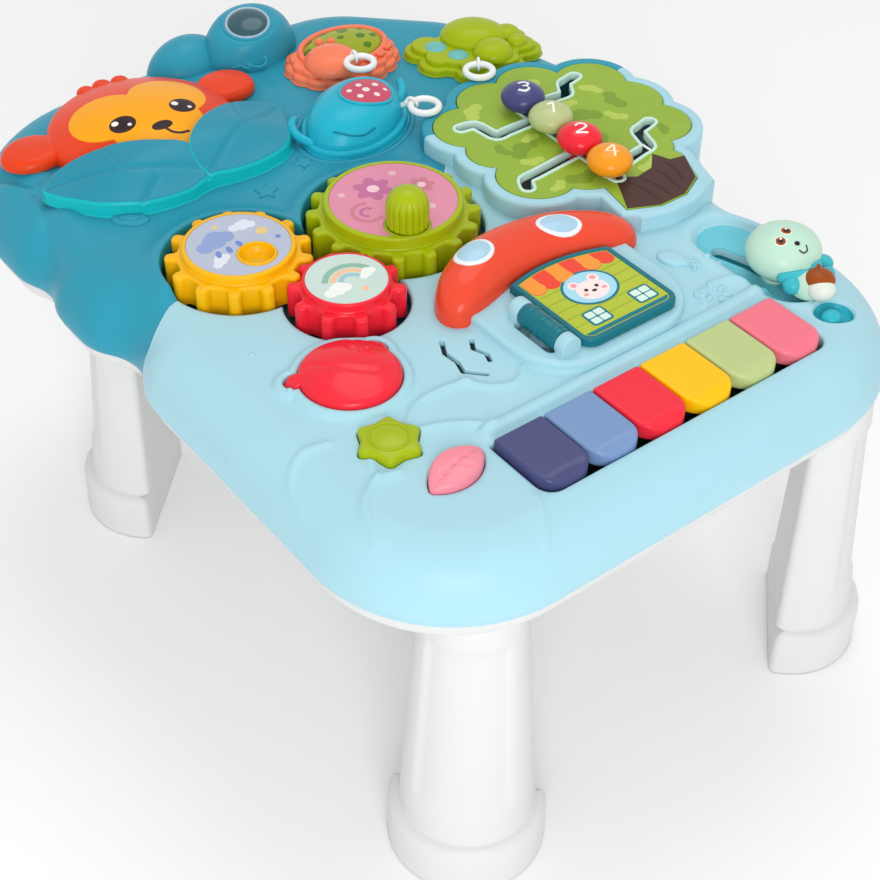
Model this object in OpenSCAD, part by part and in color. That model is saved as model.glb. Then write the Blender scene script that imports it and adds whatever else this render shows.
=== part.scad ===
// Musical activity table on four legs: a two-colour deck over a white base
// tray, with piano keys, buttons, meshed gears, a house flap, a bead maze,
// a peek-a-boo monkey, three lift-out rattles and a sliding squirrel.
// Frame: origin on the floor under the middle of the deck, +X right,
// +Y to the back, +Z up. Millimetres.

/* [Deck] */
// Overall width of the deck, left to right
table_w = 366; // [362:2:380]
// Overall depth of the deck, front to back
table_d = 470; // [466:2:484]
// Height of the deck's flat top above the floor
top_z = 230; // [210:1:260]
// Height of the rounded rim, from the flat top to its lower edge
rim_h = 34; // [31:1:38]
// How far the rim rounds in from its widest line to the flat top
rim_round = 28; // [22:1:30]
// Wall of the two deck shells
shell_t = 3; // [2.4:0.2:3.4]
// Gap between neighbouring shells and around fitted pieces
parting = 0.3; // [0.2:0.05:0.4]

/* [Base tray and legs] */
// Depth of the tray's floor below the flat top
tray_drop = 50; // [48:1:56]
// How far the tray's wall stands in from the rim at its top
tray_inset = 3; // [2.5:0.5:5]
// Wall and floor of the tray
tray_t = 2.5; // [2:0.25:3]
// Distance between the left and right legs
leg_span_x = 226; // [210:2:230]
// Distance between the front and rear legs
leg_span_y = 306; // [290:2:312]
// Forward offset of the four legs from the middle of the deck
leg_shift = 35; // [20:1:40]
// Width of a leg's flat inner face just above the foot
leg_w = 70; // [60:1:72]
// Depth of a leg from its flat face to its round face
leg_depth = 43; // [38:1:46]
// Size of the leg's top as a share of its foot end
leg_taper = 0.72; // [0.66:0.01:0.8]
// Height of the foot collar
foot_h = 30; // [20:1:36]
// How far the foot collar stands out
foot_flare = 6; // [4:0.5:8]
// Wall of a hollow leg
leg_t = 2.5; // [2:0.25:3]
// Height of the plug that enters the tray
plug_h = 22; // [16:1:24]

/* [Keys] */
// Pitch of the six keys
key_pitch = 30; // [28:0.5:30.5]
// Gap between two keys
key_gap = 1.2; // [0.8:0.1:1.6]
// Length of a key's top
key_len = 40; // [36:1:42]
// Thickness of a key
key_t = 8; // [7:0.5:9]
// Height of the keys' top above the deck
key_rise = 4; // [3:0.5:5]
// Downward turn of a pressed key, degrees
key_turn = 3.8; // [2:0.2:4]
// Radius of the steel rod the keys turn on
rod_r = 1.5; // [1.2:0.1:2]
// Radial clearance of every running fit
run_fit = 0.05; // [0.03:0.01:0.09]

/* [Buttons] */
// Radius of the fish button
fish_r = 25; // [23:0.5:25.5]
// Outer radius of the star button
star_r = 17; // [14:0.5:18]
// Length of the leaf button
leaf_len = 37; // [32:1:39]
// Travel of a button
press = 3; // [2:0.2:3.4]

/* [Gears] */
// Gear module: pitch diameter over number of teeth
gear_m = 5.46; // [5.3:0.02:5.5]
// Height of the toothed band
tooth_band = 17; // [14:0.5:18]
// Height of the teeth's top above the deck
band_top = 9; // [7:0.5:10]
// Height of the hub disc above the teeth
hub_rise = 4; // [3:0.5:6]
// Thickness of a printed label
label_t = 0.5; // [0.3:0.1:0.8]
// Radius of a gear's axle post
axle_r = 4; // [3:0.25:5]
// Radius of the ribbed knob
knob_r = 11; // [9:0.5:12]
// Height of the ribbed knob
knob_h = 22; // [18:0.5:26]

/* [House] */
// Width of the door flap
door_w = 62; // [56:1:63]
// Thickness of the door flap
door_t = 4.5; // [3.5:0.5:5]
// Radius of the door's hinge barrel
barrel_r = 6; // [5:0.25:6.5]
// Length of the door's hinge barrel
barrel_len = 27; // [22:1:32]
// Radius of the door's hinge pin
pin_r = 1.5; // [1.2:0.1:2]
// Height of the plinth under the house
pad_h = 6; // [5:0.5:6.5]
// Height of the mushroom cap
cap_h = 23; // [18:1:26]
// Radius of a light window in the mushroom cap
spot_r = 9; // [7:0.5:10]

/* [Tree] */
// Height of the picture plate's top above the deck
plate_z = 10; // [9:0.5:12]
// Thickness of the picture plate
plate_t = 3; // [2:0.25:3.5]
// Width of the rim of the plinth round the plate
plinth_w = 7; // [5:0.5:8]
// Width of the bead slots
slot_w = 6; // [5.5:0.25:7]
// Width of the raised lining of the slots
lining_w = 2; // [1.5:0.25:2.5]
// Radius of a bead
bead_r = 12.6; // [11:0.1:12.8]
// Height of a bead
bead_h = 18; // [15:0.5:20]
// Distance between two beads
bead_pitch = 26.2; // [26.2:0.1:27]

/* [Monkey] */
// Radius of the monkey's head
head_r = 53; // [50:1:54]
// Radius of an ear
ear_r = 16.5; // [15:0.5:17]
// Travel of the head under the leaves
head_travel = 10; // [6:1:10]
// Height of the leaf cover at its front
leaf_front_h = 13; // [12:0.5:15]
// Slope of the leaf cover, degrees
leaf_slope = 9; // [8:0.5:10]

/* [Rattles and squirrel] */
// Thickness of a rattle's base
rattle_t = 7; // [5:0.5:8]
// Height of a rattle's dome above the deck
rattle_h = 18; // [16:0.5:20]
// Middle radius of a carrying ring
ring_r = 8; // [7.5:0.5:8.5]
// Radius of a carrying ring's wire
ring_wire = 2; // [1.6:0.1:2.2]
// Radius of the squirrel's head
squirrel_r = 17; // [15:0.5:17.5]
// Travel of the squirrel along its groove
squirrel_travel = 24; // [16:1:24]
// Radius of the lamp pod
pod_r = 26; // [25:0.5:28]
// Radius of the lamp's lens
lens_r = 13; // [11:0.5:14]

/* [Hidden] */
$fn = 64;

sky = "#b5e2ee";
teal = "#3a9cb2";
white = "#f2f2f2";
eps = 0.01;
half_w = table_w / 2;
half_d = table_d / 2;
tray_z = -tray_drop;
// The legs' seats stand out under the tray by this much
seat_drop = 1;
leg_h = top_z - tray_drop - seat_drop;

// Places on the deck, seen from above, from the deck's middle
key_x0 = -87.5;
key_back_y = -165.5;
fish_at = [-111, -88];
star_at = [-123.5, -136];
leaf_at = [-110.5, -169];
leaf_angle = 14;
red_at = [-76.5, -37];
green_dir = 34.3;
yellow_dir = 115.4;
house_x = 13;
hinge_x = -20;
hinge_y = -122;
hinge_z = 9.5;
tree_at = [107, 14];
column_at = [99.5, 38];
column_step = [-1.5, -bead_pitch];
head_at = [-79.5, 156.5];
snail_at = [60, 152];
whale_at = [22, 94];
frog_at = [126, 115];
squirrel_at = [115, -148];
pod_at = [15.5, 197];
lobe_at = [-24, 207];
lobe_r = 17;
speaker_at = [-58, -112];
battery_at = [10, 40];
switch_at = [10, -20];

// ---------- general shapes ----------

module on_deck(p = [0, 0], z = 0) translate([p.x, p.y, top_z + z]) children();

function unit(v) = v / norm(v);

// Points of one rounded corner b between neighbours a and c, moved in by d
function corner(a, b, c, r, n, d) =
  let(u = unit(a - b), v = unit(c - b), half = acos(u * v) / 2,
      mid = b + unit(u + v) * r / sin(half),
      p = b + u * r / tan(half) - mid, q = b + v * r / tan(half) - mid,
      start = atan2(p.y, p.x),
      turn = (atan2(q.y, q.x) - start + 540) % 360 - 180,
      arc = turn > 0 ? r - d : r + d)
  [for (i = [0:n]) mid + arc * [cos(start + turn * i / n), sin(start + turn * i / n)]];

// Closed outline through corners given as [x, y, radius], moved in by d
function rounded(c, n = 6, d = 0) =
  let(m = len(c), xy = [for (p = c) [p.x, p.y]])
  [for (i = [0:m - 1]) each corner(xy[(i + m - 1) % m], xy[i], xy[(i + 1) % m],
    c[i].z, c[i].z > 55 ? n : ceil(n / 2), d)];

// Outline of a path with round ends, r to either side
function thick(path, r, n = 6) =
  let(m = len(path) - 1,
      dir = [for (i = [0:m - 1]) unit(path[i + 1] - path[i])],
      side = [for (i = [0:m])
        let(a = dir[max(i - 1, 0)], b = dir[min(i, m - 1)], s = [-a.y - b.y, a.x + b.x])
        s / (1 + a * b)],
      a0 = atan2(dir[0].y, dir[0].x), a1 = atan2(dir[m - 1].y, dir[m - 1].x))
  concat(
    [for (i = [0:m]) path[i] - r * side[i]],
    [for (k = [1:n - 1]) path[m] + r * [cos(a1 - 90 + 180 * k / n), sin(a1 - 90 + 180 * k / n)]],
    [for (i = [m:-1:0]) path[i] + r * side[i]],
    [for (k = [1:n - 1]) path[0] + r * [cos(a0 + 90 + 180 * k / n), sin(a0 + 90 + 180 * k / n)]]);

// The outline moved in by d along each point's normal
function inset(pts, d) =
  let(m = len(pts))
  [for (i = [0:m - 1])
    let(t = unit(pts[(i + 1) % m] - pts[(i + m - 1) % m])) pts[i] + d * [-t.y, t.x]];

function ellipse_pts(rx, ry, n = 48) = [for (i = [0:n - 1]) [rx * cos(360 * i / n), ry * sin(360 * i / n)]];

// Solid through rings of as many points each, closed by a fan at both ends
module loft(rings) {
  n = len(rings[0]);
  m = len(rings);
  polyhedron(
    points = concat([for (r = rings) each r], [[0, 0, rings[0][0].z], [0, 0, rings[m - 1][0].z]]),
    faces = [for (i = [0:n - 1]) let(j = (i + 1) % n) each concat(
      [[m * n, i, j], [m * n + 1, (m - 1) * n + j, (m - 1) * n + i]],
      [for (k = [0:m - 2]) each [[k * n + i, (k + 1) * n + i, (k + 1) * n + j],
        [k * n + i, (k + 1) * n + j, k * n + j]]])]);
}

// The end steps run on past their planes, where cubes trim the loft
function past(a, b) = a + 0.2 * (a - b);
function run_on(steps) = let(m = len(steps)) concat([past(steps[0], steps[1])],
  [for (i = [1:m - 2]) steps[i]], [past(steps[m - 1], steps[m - 2])]);
module trimmed(steps, z0, z1) intersection() {
  loft(rings(run_on(steps)));
  translate([-half_w - 20, -half_d - 20, z0]) cube([2 * half_w + 40, 2 * half_d + 40, z1 - z0]);
}

// Rings of the deck's outline at [inset, z] steps
function rings(steps) = [for (s = steps) [for (p = rounded(deck_corners, 6, s[0])) [p.x, p.y, s[1]]]];

module slab(pts, z0, z1) translate([0, 0, z0]) linear_extrude(z1 - z0) polygon(pts);

module disc(r, z0, z1) translate([0, 0, z0]) cylinder(r = r, h = z1 - z0);

// Low dome: the slab under it is cut by a ball whose top is at z1 and whose
// skirt meets z0 at radius r
module dome(r, z0, z1) {
  rise = z1 - z0;
  ball = (r * r + rise * rise) / (2 * rise);
  intersection() {
    translate([0, 0, z1 - ball]) sphere(r = ball, $fn = 96);
    disc(r + 1, z0, z1 + 1);
  }
}

// ---------- deck ----------

deck_corners = [
  [-half_w, -half_d, 78], [half_w - 20, -half_d, 82],
  [half_w - 26, -112, 60], [half_w - 38, -74, 40],
  [half_w, -30, 45], [half_w, 66, 60],
  [half_w - 22, 168, 70], [92, half_d, 70], [-half_w, half_d, 95],
  [-half_w, 118, 34], [-half_w + 8, 97, 30], [-half_w, 76, 34],
  [-half_w, 44, 34], [-half_w + 17, 18, 30], [-half_w + 2, -10, 40]];
rim_low = 4;
wide_z = rim_h - rim_low;

function rim_steps(t) = [for (a = [0:18:90])
  [t + rim_round * (1 - cos(a)), -t - (wide_z - t) * (1 - sin(a))]];
function down(steps) = [for (i = [len(steps) - 1:-1:0]) steps[i]];

// Line between the front and the back shell, left to right
seam = [[-half_w - 20, 4], [-168, 4], [-150, 13], [-104, 20], [-76, -12],
  [-60, -14], [-18, 3], [28, 20], [48, 41], [half_w + 20, 39]];

module front_zone(dy) slab(concat([[half_w + 20, -half_d - 20]], [for (p = down(seam)) p + [0, dy]],
  [[-half_w - 20, -half_d - 20]]), -rim_h - 1, 1);

module deck_shell() difference() {
  trimmed(concat([[1.5, -rim_h]], rim_steps(0)), -rim_h, 0);
  trimmed(concat([[shell_t + 1.5, -rim_h - 2]], rim_steps(shell_t)), -rim_h - 2, -shell_t);
}

// Bosses that the tray's screws enter
front_screws = [[-68, -141], [75, -130], [43 - half_w, -60], [95, -99]];
back_screws = [[33 - half_w, 100], [half_w - 33, 90], [-60, half_d - 30], [90, half_d - 45]];
screw_at = concat(front_screws, back_screws);
screw_r = 1.5;
boss_r = 4.5;
module bosses(places) for (p = places) translate(p) disc(boss_r, tray_z + tray_t, -shell_t + 1);
module pilots(places) for (p = places) translate(p) disc(screw_r + run_fit, tray_z, -20);

// House plinth with the trough and the two ears of the hinge
plinth_pts = rounded([[-38, -72, 8], [-38, -151, 32], [62, -151, 32], [62, -72, 8]], 6);
ear_len = 7;
ear_gap = 0.4;
module hinge_ears() for (s = [-1, 1])
  translate([hinge_x, hinge_y + s * (barrel_len / 2 + ear_gap + ear_len / 2), hinge_z]) {
    rotate([90, 0, 0]) cylinder(r = barrel_r, h = ear_len, center = true);
    translate([-barrel_r, -ear_len / 2, -hinge_z]) cube([2 * barrel_r, ear_len, hinge_z]);
  }
module hinge_cylinder(r, len) translate([hinge_x, hinge_y, hinge_z]) rotate([90, 0, 0])
  cylinder(r = r, h = len, center = true);

// Lobes of the tree's crown as [x, y, radius]
lobes = [[0, 0, 50], [-44.5, -32.5, 22], [-46, -0.5, 17], [-42.5, 27.5, 21],
  [-15, 41, 21], [15, 42, 21], [45, 25, 21], [48, -3, 21], [45, -31, 20],
  [20, -43, 20], [-19, -43, 20]];
module crown(grow, z0, z1) {
  for (l = lobes) translate([tree_at.x + l.x, tree_at.y + l.y]) disc(l.z + grow, z0, z1);
  trunk(grow, z0, z1);
}
trunk_low = -80;
module trunk(grow, z0, z1) slab([[80 - grow, -72 - grow], [97, trunk_low - grow], [115, trunk_low - grow],
  [131 + grow, -72 - grow], [141 + grow, -50], [136 + grow, -25], [90 - grow, -25]], z0, z1);
ledge_w = 3;
seat_z = plate_z - plate_t;

gear_tip = 0.47 * gear_m;
function pitch_r(n) = gear_m * n / 2;
red_n = 10;
yellow_n = 13;
green_n = 16;
green_at = red_at + (pitch_r(red_n) + pitch_r(green_n)) * [cos(green_dir), sin(green_dir)];
yellow_at = red_at + (pitch_r(red_n) + pitch_r(yellow_n)) * [cos(yellow_dir), sin(yellow_dir)];
gears = [[red_at, red_n], [green_at, green_n], [yellow_at, yellow_n]];
well_gap = 2.4;
module wells(grow, z0, z1) {
  for (g = gears) translate(g[0]) disc(pitch_r(g[1]) + gear_tip + well_gap + grow, z0, z1);
  slab([for (g = gears) g[0]], z0, z1);
}

// Keys: their bed, hinge line and depth
key_z0 = key_rise - key_t;
hinge_back = 9;
rod_y = key_back_y + hinge_back;
rod_z = -9.5;
rod_boss = 4;
keys_w = 6 * key_pitch;
bed_gap = 0.8;
key_front_y = key_back_y - key_len;

module fish_plan(grow, z0, z1) {
  disc(fish_r + grow, z0, z1);
  translate([-fish_r + 1, 12, 0]) disc(5 + grow, z0, z1);
  translate([fish_r - 4, 9, 0]) disc(6 + grow, z0, z1);
}
function star_pts(r) = [for (i = [0:11]) (i % 2 == 0 ? r : r * 0.76) * [cos(30 * i - 4), sin(30 * i - 4)]];
leaf_r = 22;
module leaf_plan(grow, z0, z1) {
  off = sqrt(pow(leaf_r, 2) - pow(leaf_len / 2, 2));
  rotate(leaf_angle) intersection() {
    translate([0, off]) disc(leaf_r + grow, z0, z1);
    translate([0, -off]) disc(leaf_r + grow, z0, z1);
  }
}

// Notes cut through the deck over the speaker, as bars [x, y, length, angle]
notes = [[-12, 9, 8, 60], [-14, 2, 9, -62], [-13, -7, 8, 60], [-9, -14, 10, -55],
  [10, 6, 8, 50], [9, -3, 7, -20], [13, -9, 7, 60]];
note_w = 2.2;
module sound_slots() for (n = notes) translate([speaker_at.x + n[0], speaker_at.y + n[1], -shell_t - 1])
  rotate(n[2 + 1]) translate([-n[2] / 2, -note_w / 2, 0]) cube([n[2], note_w, shell_t + 2]);

groove_w = 8;
groove_a = squirrel_at;
groove_b = squirrel_at + [0, squirrel_travel];

guide_w = 16;
guide_d = 10;

// The tree's plinth makes room for the right end of the mushroom cap
cap_tip_at = [73.5, -83];

module front_pads() {
  intersection() {
    slab(plinth_pts, -1, pad_h);
    translate(arch_at) disc(arch_r - parting, -2, pad_h + 1);
  }
  hinge_ears();
  difference() {
    crown(plinth_w, -24, plate_z);
    slab(thick([cap_tip_at, cap_tip_at + [-0.5, 4.5]], 8), eps, plate_z + 1);
  }
  translate(fish_at) fish_plan(4.5, -1, 2.5);
  for (x = [key_x0 - bed_gap - rod_boss, key_x0 + keys_w + bed_gap])
    translate([x, rod_y - rod_boss, rod_z - rod_boss]) cube([rod_boss, 2 * rod_boss, -rod_z + rod_boss - 1]);
  translate(speaker_at) difference() {
    disc(23.5, -8, -shell_t + 1);
    disc(20.6, -9, -shell_t);
  }
  bosses(front_screws);
}

module front_openings() {
  // hollow and recess for the picture plate
  crown(plinth_w - shell_t, -26, seat_z - shell_t - 0.5);
  crown(-ledge_w, -26, seat_z + 1);
  crown(parting, seat_z, plate_z + 1);
  translate([hinge_x - barrel_r - 0.6, hinge_y - barrel_len / 2 - ear_gap, hinge_z - barrel_r - 0.6])
    cube([2 * barrel_r + 1.2, barrel_len + 2 * ear_gap, 20]);
  hinge_cylinder(pin_r + run_fit, barrel_len + 2 * ear_len + 10);
  wells(0, -shell_t - 1, 30);
  translate([key_x0 - bed_gap, key_front_y - bed_gap, -shell_t - 3])
    cube([keys_w + 2 * bed_gap, key_len + 2 * bed_gap, shell_t + 4]);
  translate([key_x0 - 10, rod_y, rod_z]) rotate([0, 90, 0]) cylinder(r = rod_r + run_fit, h = keys_w + 20);
  translate(fish_at) fish_plan(parting + 0.1, -shell_t - 1, 10);
  slab([for (p = star_pts(star_r + 0.6)) p + star_at], -shell_t - 1, 1);
  translate(leaf_at) leaf_plan(parting + 0.1, -shell_t - 1, 1);
  sound_slots();
  slab(thick([groove_a, groove_b], groove_w / 2), -shell_t - 1, 5);
  pilots(front_screws);
}

module back_pads() {
  translate([pod_at.x, pod_at.y, 1]) sphere(r = pod_r);
  translate([lobe_at.x, lobe_at.y, 0]) sphere(r = lobe_r);
  // seat that carries the leaf cover over the falling rim
  slab(rounded(leaf_left, 8, 1), -9, -0.05);
  bosses(back_screws);
}

module back_openings() {
  // the pods stay open to the shell's hollow
  translate([pod_at.x, pod_at.y, -7]) sphere(r = pod_r - shell_t);
  translate([lobe_at.x, lobe_at.y, -4]) sphere(r = lobe_r - 1.5);
  wells(0, -shell_t - 1, 30);
  translate([head_at.x - guide_w / 2 - 0.4, head_at.y - head_travel - guide_d / 2 - 0.4, -10])
    cube([guide_w + 0.8, head_travel + guide_d + 0.8, 12]);
  lamp_place() disc(lens_r + parting, -4, 12);
  pilots(back_screws);
}

module deck_front() color(sky) on_deck() difference() {
  union() {
    intersection() {
      deck_shell();
      front_zone(-parting / 2);
    }
    front_pads();
  }
  front_openings();
}

module deck_back() color(teal) on_deck() difference() {
  union() {
    difference() {
      deck_shell();
      front_zone(parting / 2);
      crown(plinth_w + parting, -26, 1);
    }
    back_pads();
  }
  back_openings();
}

// ---------- base tray ----------

floor_top = tray_z + tray_t;
tray_top = -rim_h - parting;
tray_steps = [[tray_inset + 11, tray_z], [tray_inset + 5, tray_z + 4], [tray_inset + 1.5, tray_z + 9],
  [tray_inset, tray_top]];
leg_at = [for (sy = [-1, 1], sx = [-1, 1]) [sx * leg_span_x / 2, sy * leg_span_y / 2 - leg_shift, sx, sy]];

// D outline: flat face on the line through the origin, round face towards +X
module d_plan(w, depth, z0, z1) {
  flat = max(depth - w / 2, eps);
  translate([0, -w / 2, z0]) cube([flat, w, z1 - z0]);
  translate([flat, 0, 0]) intersection() {
    disc(w / 2, z0, z1);
    translate([0, -w, z0]) cube([2 * w, 2 * w, z1 - z0]);
  }
}
function d_pts(w, depth) = let(flat = max(depth - w / 2, eps)) concat([[0, w / 2], [0, -w / 2]],
  [for (a = [-90:10:90]) [flat + w / 2 * cos(a), w / 2 * sin(a)]]);
module leg_frame(i) translate([leg_at[i].x, leg_at[i].y, 0])
  rotate(atan2(leg_at[i][3], leg_at[i][2])) children();

plug_w = leg_w * leg_taper - 8;
plug_depth = leg_depth * leg_taper - 9;
plug_in = 3;
socket_t = 2;
board_z = -20;
board_t = 1.6;
board_x = [-128, -84];
board_y = [-174, -66];
key_board_y = [-197, -177];
key_board_z = -21;
box_in = [60, 50];
box_wall = 5;
box_ledge = 3.4;
box_top = -30;
post_r = 3;

module board_posts() {
  for (x = [board_x[0] + 5, board_x[1] - 5], y = [board_y[0] + 30, board_y[1] - 5])
    translate([x, y]) disc(post_r, floor_top - 1, board_z);
  for (x = [key_x0 + 8, key_x0 + keys_w - 8], y = [key_board_y[0] + 5, key_board_y[1] - 5])
    translate([x, y]) disc(post_r, floor_top - 1, key_board_z);
}

module box_at(size, z0, z1) translate([battery_at.x - size.x / 2, battery_at.y - size.y / 2, z0])
  cube([size.x, size.y, z1 - z0]);

module base_tray() color(white) on_deck() difference() {
  union() {
    difference() {
      trimmed(tray_steps, tray_z, tray_top);
      trimmed([for (s = concat(tray_steps, [[tray_inset, tray_top + 2]])) [s[0] + tray_t, s[1]]],
        floor_top, tray_top + 2);
    }
    for (i = [0:3]) leg_frame(i) {
      translate([plug_in - socket_t - parting, 0, 0])
        d_plan(plug_w + 2 * (socket_t + parting), plug_depth + 2 * (socket_t + parting), floor_top - 1,
          tray_z + plug_h + 2);
      d_plan(leg_w * leg_taper, leg_depth * leg_taper, tray_z - seat_drop, tray_z + 7.3);
    }
    box_at([box_in.x + 2 * box_wall, box_in.y + 2 * box_wall], floor_top - 1, box_top + 2);
    board_posts();
  }
  for (i = [0:3]) leg_frame(i) translate([plug_in - parting, 0, 0])
    d_plan(plug_w + 2 * parting, plug_depth + 2 * parting, tray_z - 2, tray_z + plug_h + parting);
  box_at(box_in, tray_z - 1, box_top);
  box_at([box_in.x + 2 * box_ledge, box_in.y + 2 * box_ledge], tray_z - 1, cover_top);
  cover_screw_at() disc(screw_r + run_fit, tray_z - 1, cover_tip + 1);
  for (p = screw_at) translate(p) disc(screw_r + run_fit, tray_z - 1, floor_top + 1);
  for (p = screw_at) translate(p) disc(3.3, tray_z - 1, tray_z + 1);
  translate([switch_at.x - 7, switch_at.y - 2.4, tray_z - 1]) cube([14, 4.8, tray_t + 2]);
}

module leg(i) color(white) leg_frame(i) difference() {
  foot_w = leg_w + 2 * foot_flare;
  union() {
    d_plan(foot_w, leg_depth + foot_flare, 0, foot_h);
    translate([0, 0, foot_h - eps]) linear_extrude(leg_h - foot_h + eps, scale = leg_taper)
      polygon(d_pts(leg_w, leg_depth));
    translate([plug_in, 0, 0]) d_plan(plug_w, plug_depth, leg_h - 1, leg_h + seat_drop + plug_h);
  }
  translate([leg_t, 0, 0])
    d_plan(foot_w - 2 * leg_t, leg_depth + foot_flare - 2 * leg_t, leg_t, foot_h - leg_t);
  translate([plug_in + leg_t, 0, 0])
    d_plan(plug_w - 2 * leg_t, plug_depth - 2 * leg_t, foot_h - leg_t - 1, leg_h + plug_h + 2);
}

module battery_cover() color(white) on_deck() difference() {
  box_at([box_in.x + 2 * box_ledge - 2 * parting, box_in.y + 2 * box_ledge - 2 * parting], tray_z, cover_top);
  cover_screw_at() disc(screw_r + run_fit, tray_z - 1, floor_top + 1);
  cover_screw_at() disc(3.3, tray_z - 1, tray_z + 1);
}
cover_top = floor_top - 0.4;
cover_tip = floor_top + 5;
module cover_screw_at() translate([battery_at.x, battery_at.y - box_in.y / 2 + 0.2]) children();
module screw_body(z_head, z_tip) {
  disc(3, z_head, z_head + 1);
  disc(screw_r, z_head, z_tip);
}
module base_screws() color("silver") on_deck() for (p = screw_at) translate(p) screw_body(tray_z, -28);
module cover_screw() color("silver") on_deck() cover_screw_at() screw_body(tray_z, cover_tip);

module batteries() color("dimgray") on_deck() for (i = [-1, 0, 1])
  translate([battery_at.x, battery_at.y + i * 15.4, floor_top + 7.3]) rotate([0, 90, 0])
    union() {
      cylinder(r = 7.1, h = 48.5, center = true);
      translate([0, 0, 24]) cylinder(r = 2.7, h = 1.6);
    }

module circuit_board() color("seagreen") on_deck()
  translate([board_x[0], board_y[0], board_z])
    cube([board_x[1] - board_x[0], board_y[1] - board_y[0], board_t]);

module key_board() color("seagreen") on_deck()
  translate([key_x0 + 2, key_board_y[0], key_board_z])
    cube([keys_w - 4, key_board_y[1] - key_board_y[0], board_t]);

switch_top = board_z + board_t + 4;
stem_z = switch_top + press + 0.3;
module button_switches() color("black") on_deck() for (p = [fish_at, star_at, leaf_at])
  translate([p.x - 3, p.y - 3, board_z + board_t]) cube([6, 6, switch_top - board_z - board_t]);

plunger_y = (key_board_y[0] + key_board_y[1]) / 2;
plunger_z = -10.5;
plunger_drop = (rod_y - plunger_y) * tan(key_turn);
module key_contacts() color("dimgray") on_deck() for (i = [0:5])
  translate([key_x0 + (i + 0.5) * key_pitch, plunger_y])
    disc(4.5, key_board_z + board_t, plunger_z - plunger_drop - 0.5);

module speaker() color("black") on_deck(speaker_at) {
  disc(20, -7, -shell_t);
  disc(12, -14, -7);
}

module power_switch() color("black") on_deck(switch_at - [3.5, 0]) {
  translate([-3, -2, tray_z - 1.5]) cube([6, 4, tray_t + 1.5 + parting + eps]);
  translate([-8, -4, floor_top + parting]) cube([16, 8, 1.5]);
}

// ---------- keys ----------

key_colours = ["#54567f", "#7e99bf", "#f03545", "#fcc60b", "#bfcb8e", "#f07f8e"];
key_w = key_pitch - key_gap;

// Plan of a key with round front corners, and its side view with a round nose
key_plan = rounded([[0, key_len, 1.2], [0, 0, 8], [key_w, 0, 8], [key_w, key_len, 1.2]], 6);
module rod_bore() translate([-1, key_len + hinge_back, rod_z]) rotate([0, 90, 0])
  cylinder(r = rod_r + run_fit, h = key_w + 2);

module key(i) color(key_colours[i])
  on_deck([key_x0 + key_gap / 2 + i * key_pitch, key_front_y]) difference() {
  union() {
    intersection() {
      slab(key_plan, key_z0, key_rise);
      translate([-1, 0, key_rise - 30]) union() {
        translate([0, 14, 0]) cube([key_w + 2, key_len, 30]);
        translate([0, 14, 16]) rotate([0, 90, 0]) cylinder(r = 14, h = key_w + 2);
        translate([0, 0, 0]) cube([key_w + 2, key_len, 16]);
      }
    }
    // arm under the deck to the hinge rod
    translate([6, key_len - 6, -7.5 - 3]) cube([key_w - 12, 6 + hinge_back, 5]);
    translate([6, key_len - 6, -10.5]) cube([key_w - 12, 5, key_z0 + 11]);
    translate([6, key_len + hinge_back, rod_z]) rotate([0, 90, 0]) cylinder(r = rod_boss, h = key_w - 12);
    translate([key_w / 2, plunger_y - key_front_y]) disc(3, plunger_z, key_z0 + 1);
  }
  rod_bore();
}

module key_rod() color("silver") on_deck([key_x0 - bed_gap - rod_boss, rod_y], rod_z)
  rotate([0, 90, 0]) cylinder(r = rod_r, h = keys_w + 2 * (bed_gap + rod_boss));

// ---------- buttons ----------

module fish_button() color("#ee3040") on_deck(fish_at) union() {
  intersection() {
    fish_plan(0, -shell_t - 4, 12);
    translate([0, 0, -52]) sphere(r = 62, $fn = 96);
  }
  disc(3, stem_z, -shell_t - 3);
}

module star_button() color("#a9b90f") on_deck(star_at) union() {
  slab(star_pts(star_r), -shell_t - 4, 3.5);
  dome(10, 3.5, 5.5);
  disc(3, stem_z, -shell_t - 3);
}

module leaf_button() color("#f59aa8") on_deck(leaf_at) union() {
  intersection() {
    leaf_plan(0, -shell_t - 4, 12);
    translate([0, 0, -34]) sphere(r = 40, $fn = 96);
  }
  disc(3, stem_z, -shell_t - 3);
}

// ---------- gears ----------

band_z0 = band_top - tooth_band;
hub_top = band_top + hub_rise;
gear_root = 0.62 * gear_m;

function rot(p, a) = [p.x * cos(a) - p.y * sin(a), p.x * sin(a) + p.y * cos(a)];
function gear_pts(n, phase) =
  let(r = pitch_r(n), side = [[-gear_root, 0.78], [0, 0.62], [gear_tip * 0.7, 0.42], [gear_tip, 0.16]])
  [for (i = [0:n - 1])
    let(a = phase + i * 360 / n) each concat(
      [for (p = side) rot([r + p[0], -p[1] * gear_m], a)],
      [for (k = [3:-1:0]) rot([r + side[k][0], side[k][1] * gear_m], a)])];
module gear_teeth(n, phase) slab(gear_pts(n, phase), band_z0, band_top);

// Turn of a gear that meshes with the red one along direction dir
function mesh_phase(dir, n) =
  let(step = 360 / red_n, f = (dir - green_dir) / step)
  dir + 180 - 360 / n * (0.5 - f);

module gear(n, phase, hub_r, top) difference() {
  union() {
    gear_teeth(n, phase);
    disc(hub_r, band_top - 1, top);
  }
  disc(axle_r + run_fit, band_z0 - 1, top - 3);
}

red_label_r = 20.8;
yellow_label_r = 26.9;
green_label_r = 34;
dimple_off = [3, -12.5];
knob_off = [-8, -23];
green_top = hub_top + 2;
knob_z = green_top + label_t + 0.2;
knob_post_r = 4;

module red_gear() color("#ee3040") on_deck(red_at) gear(red_n, green_dir, red_label_r + 1.6, hub_top);
module red_gear_label() color("#cfe0dc") on_deck(red_at) disc(red_label_r, hub_top, hub_top + label_t);

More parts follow.
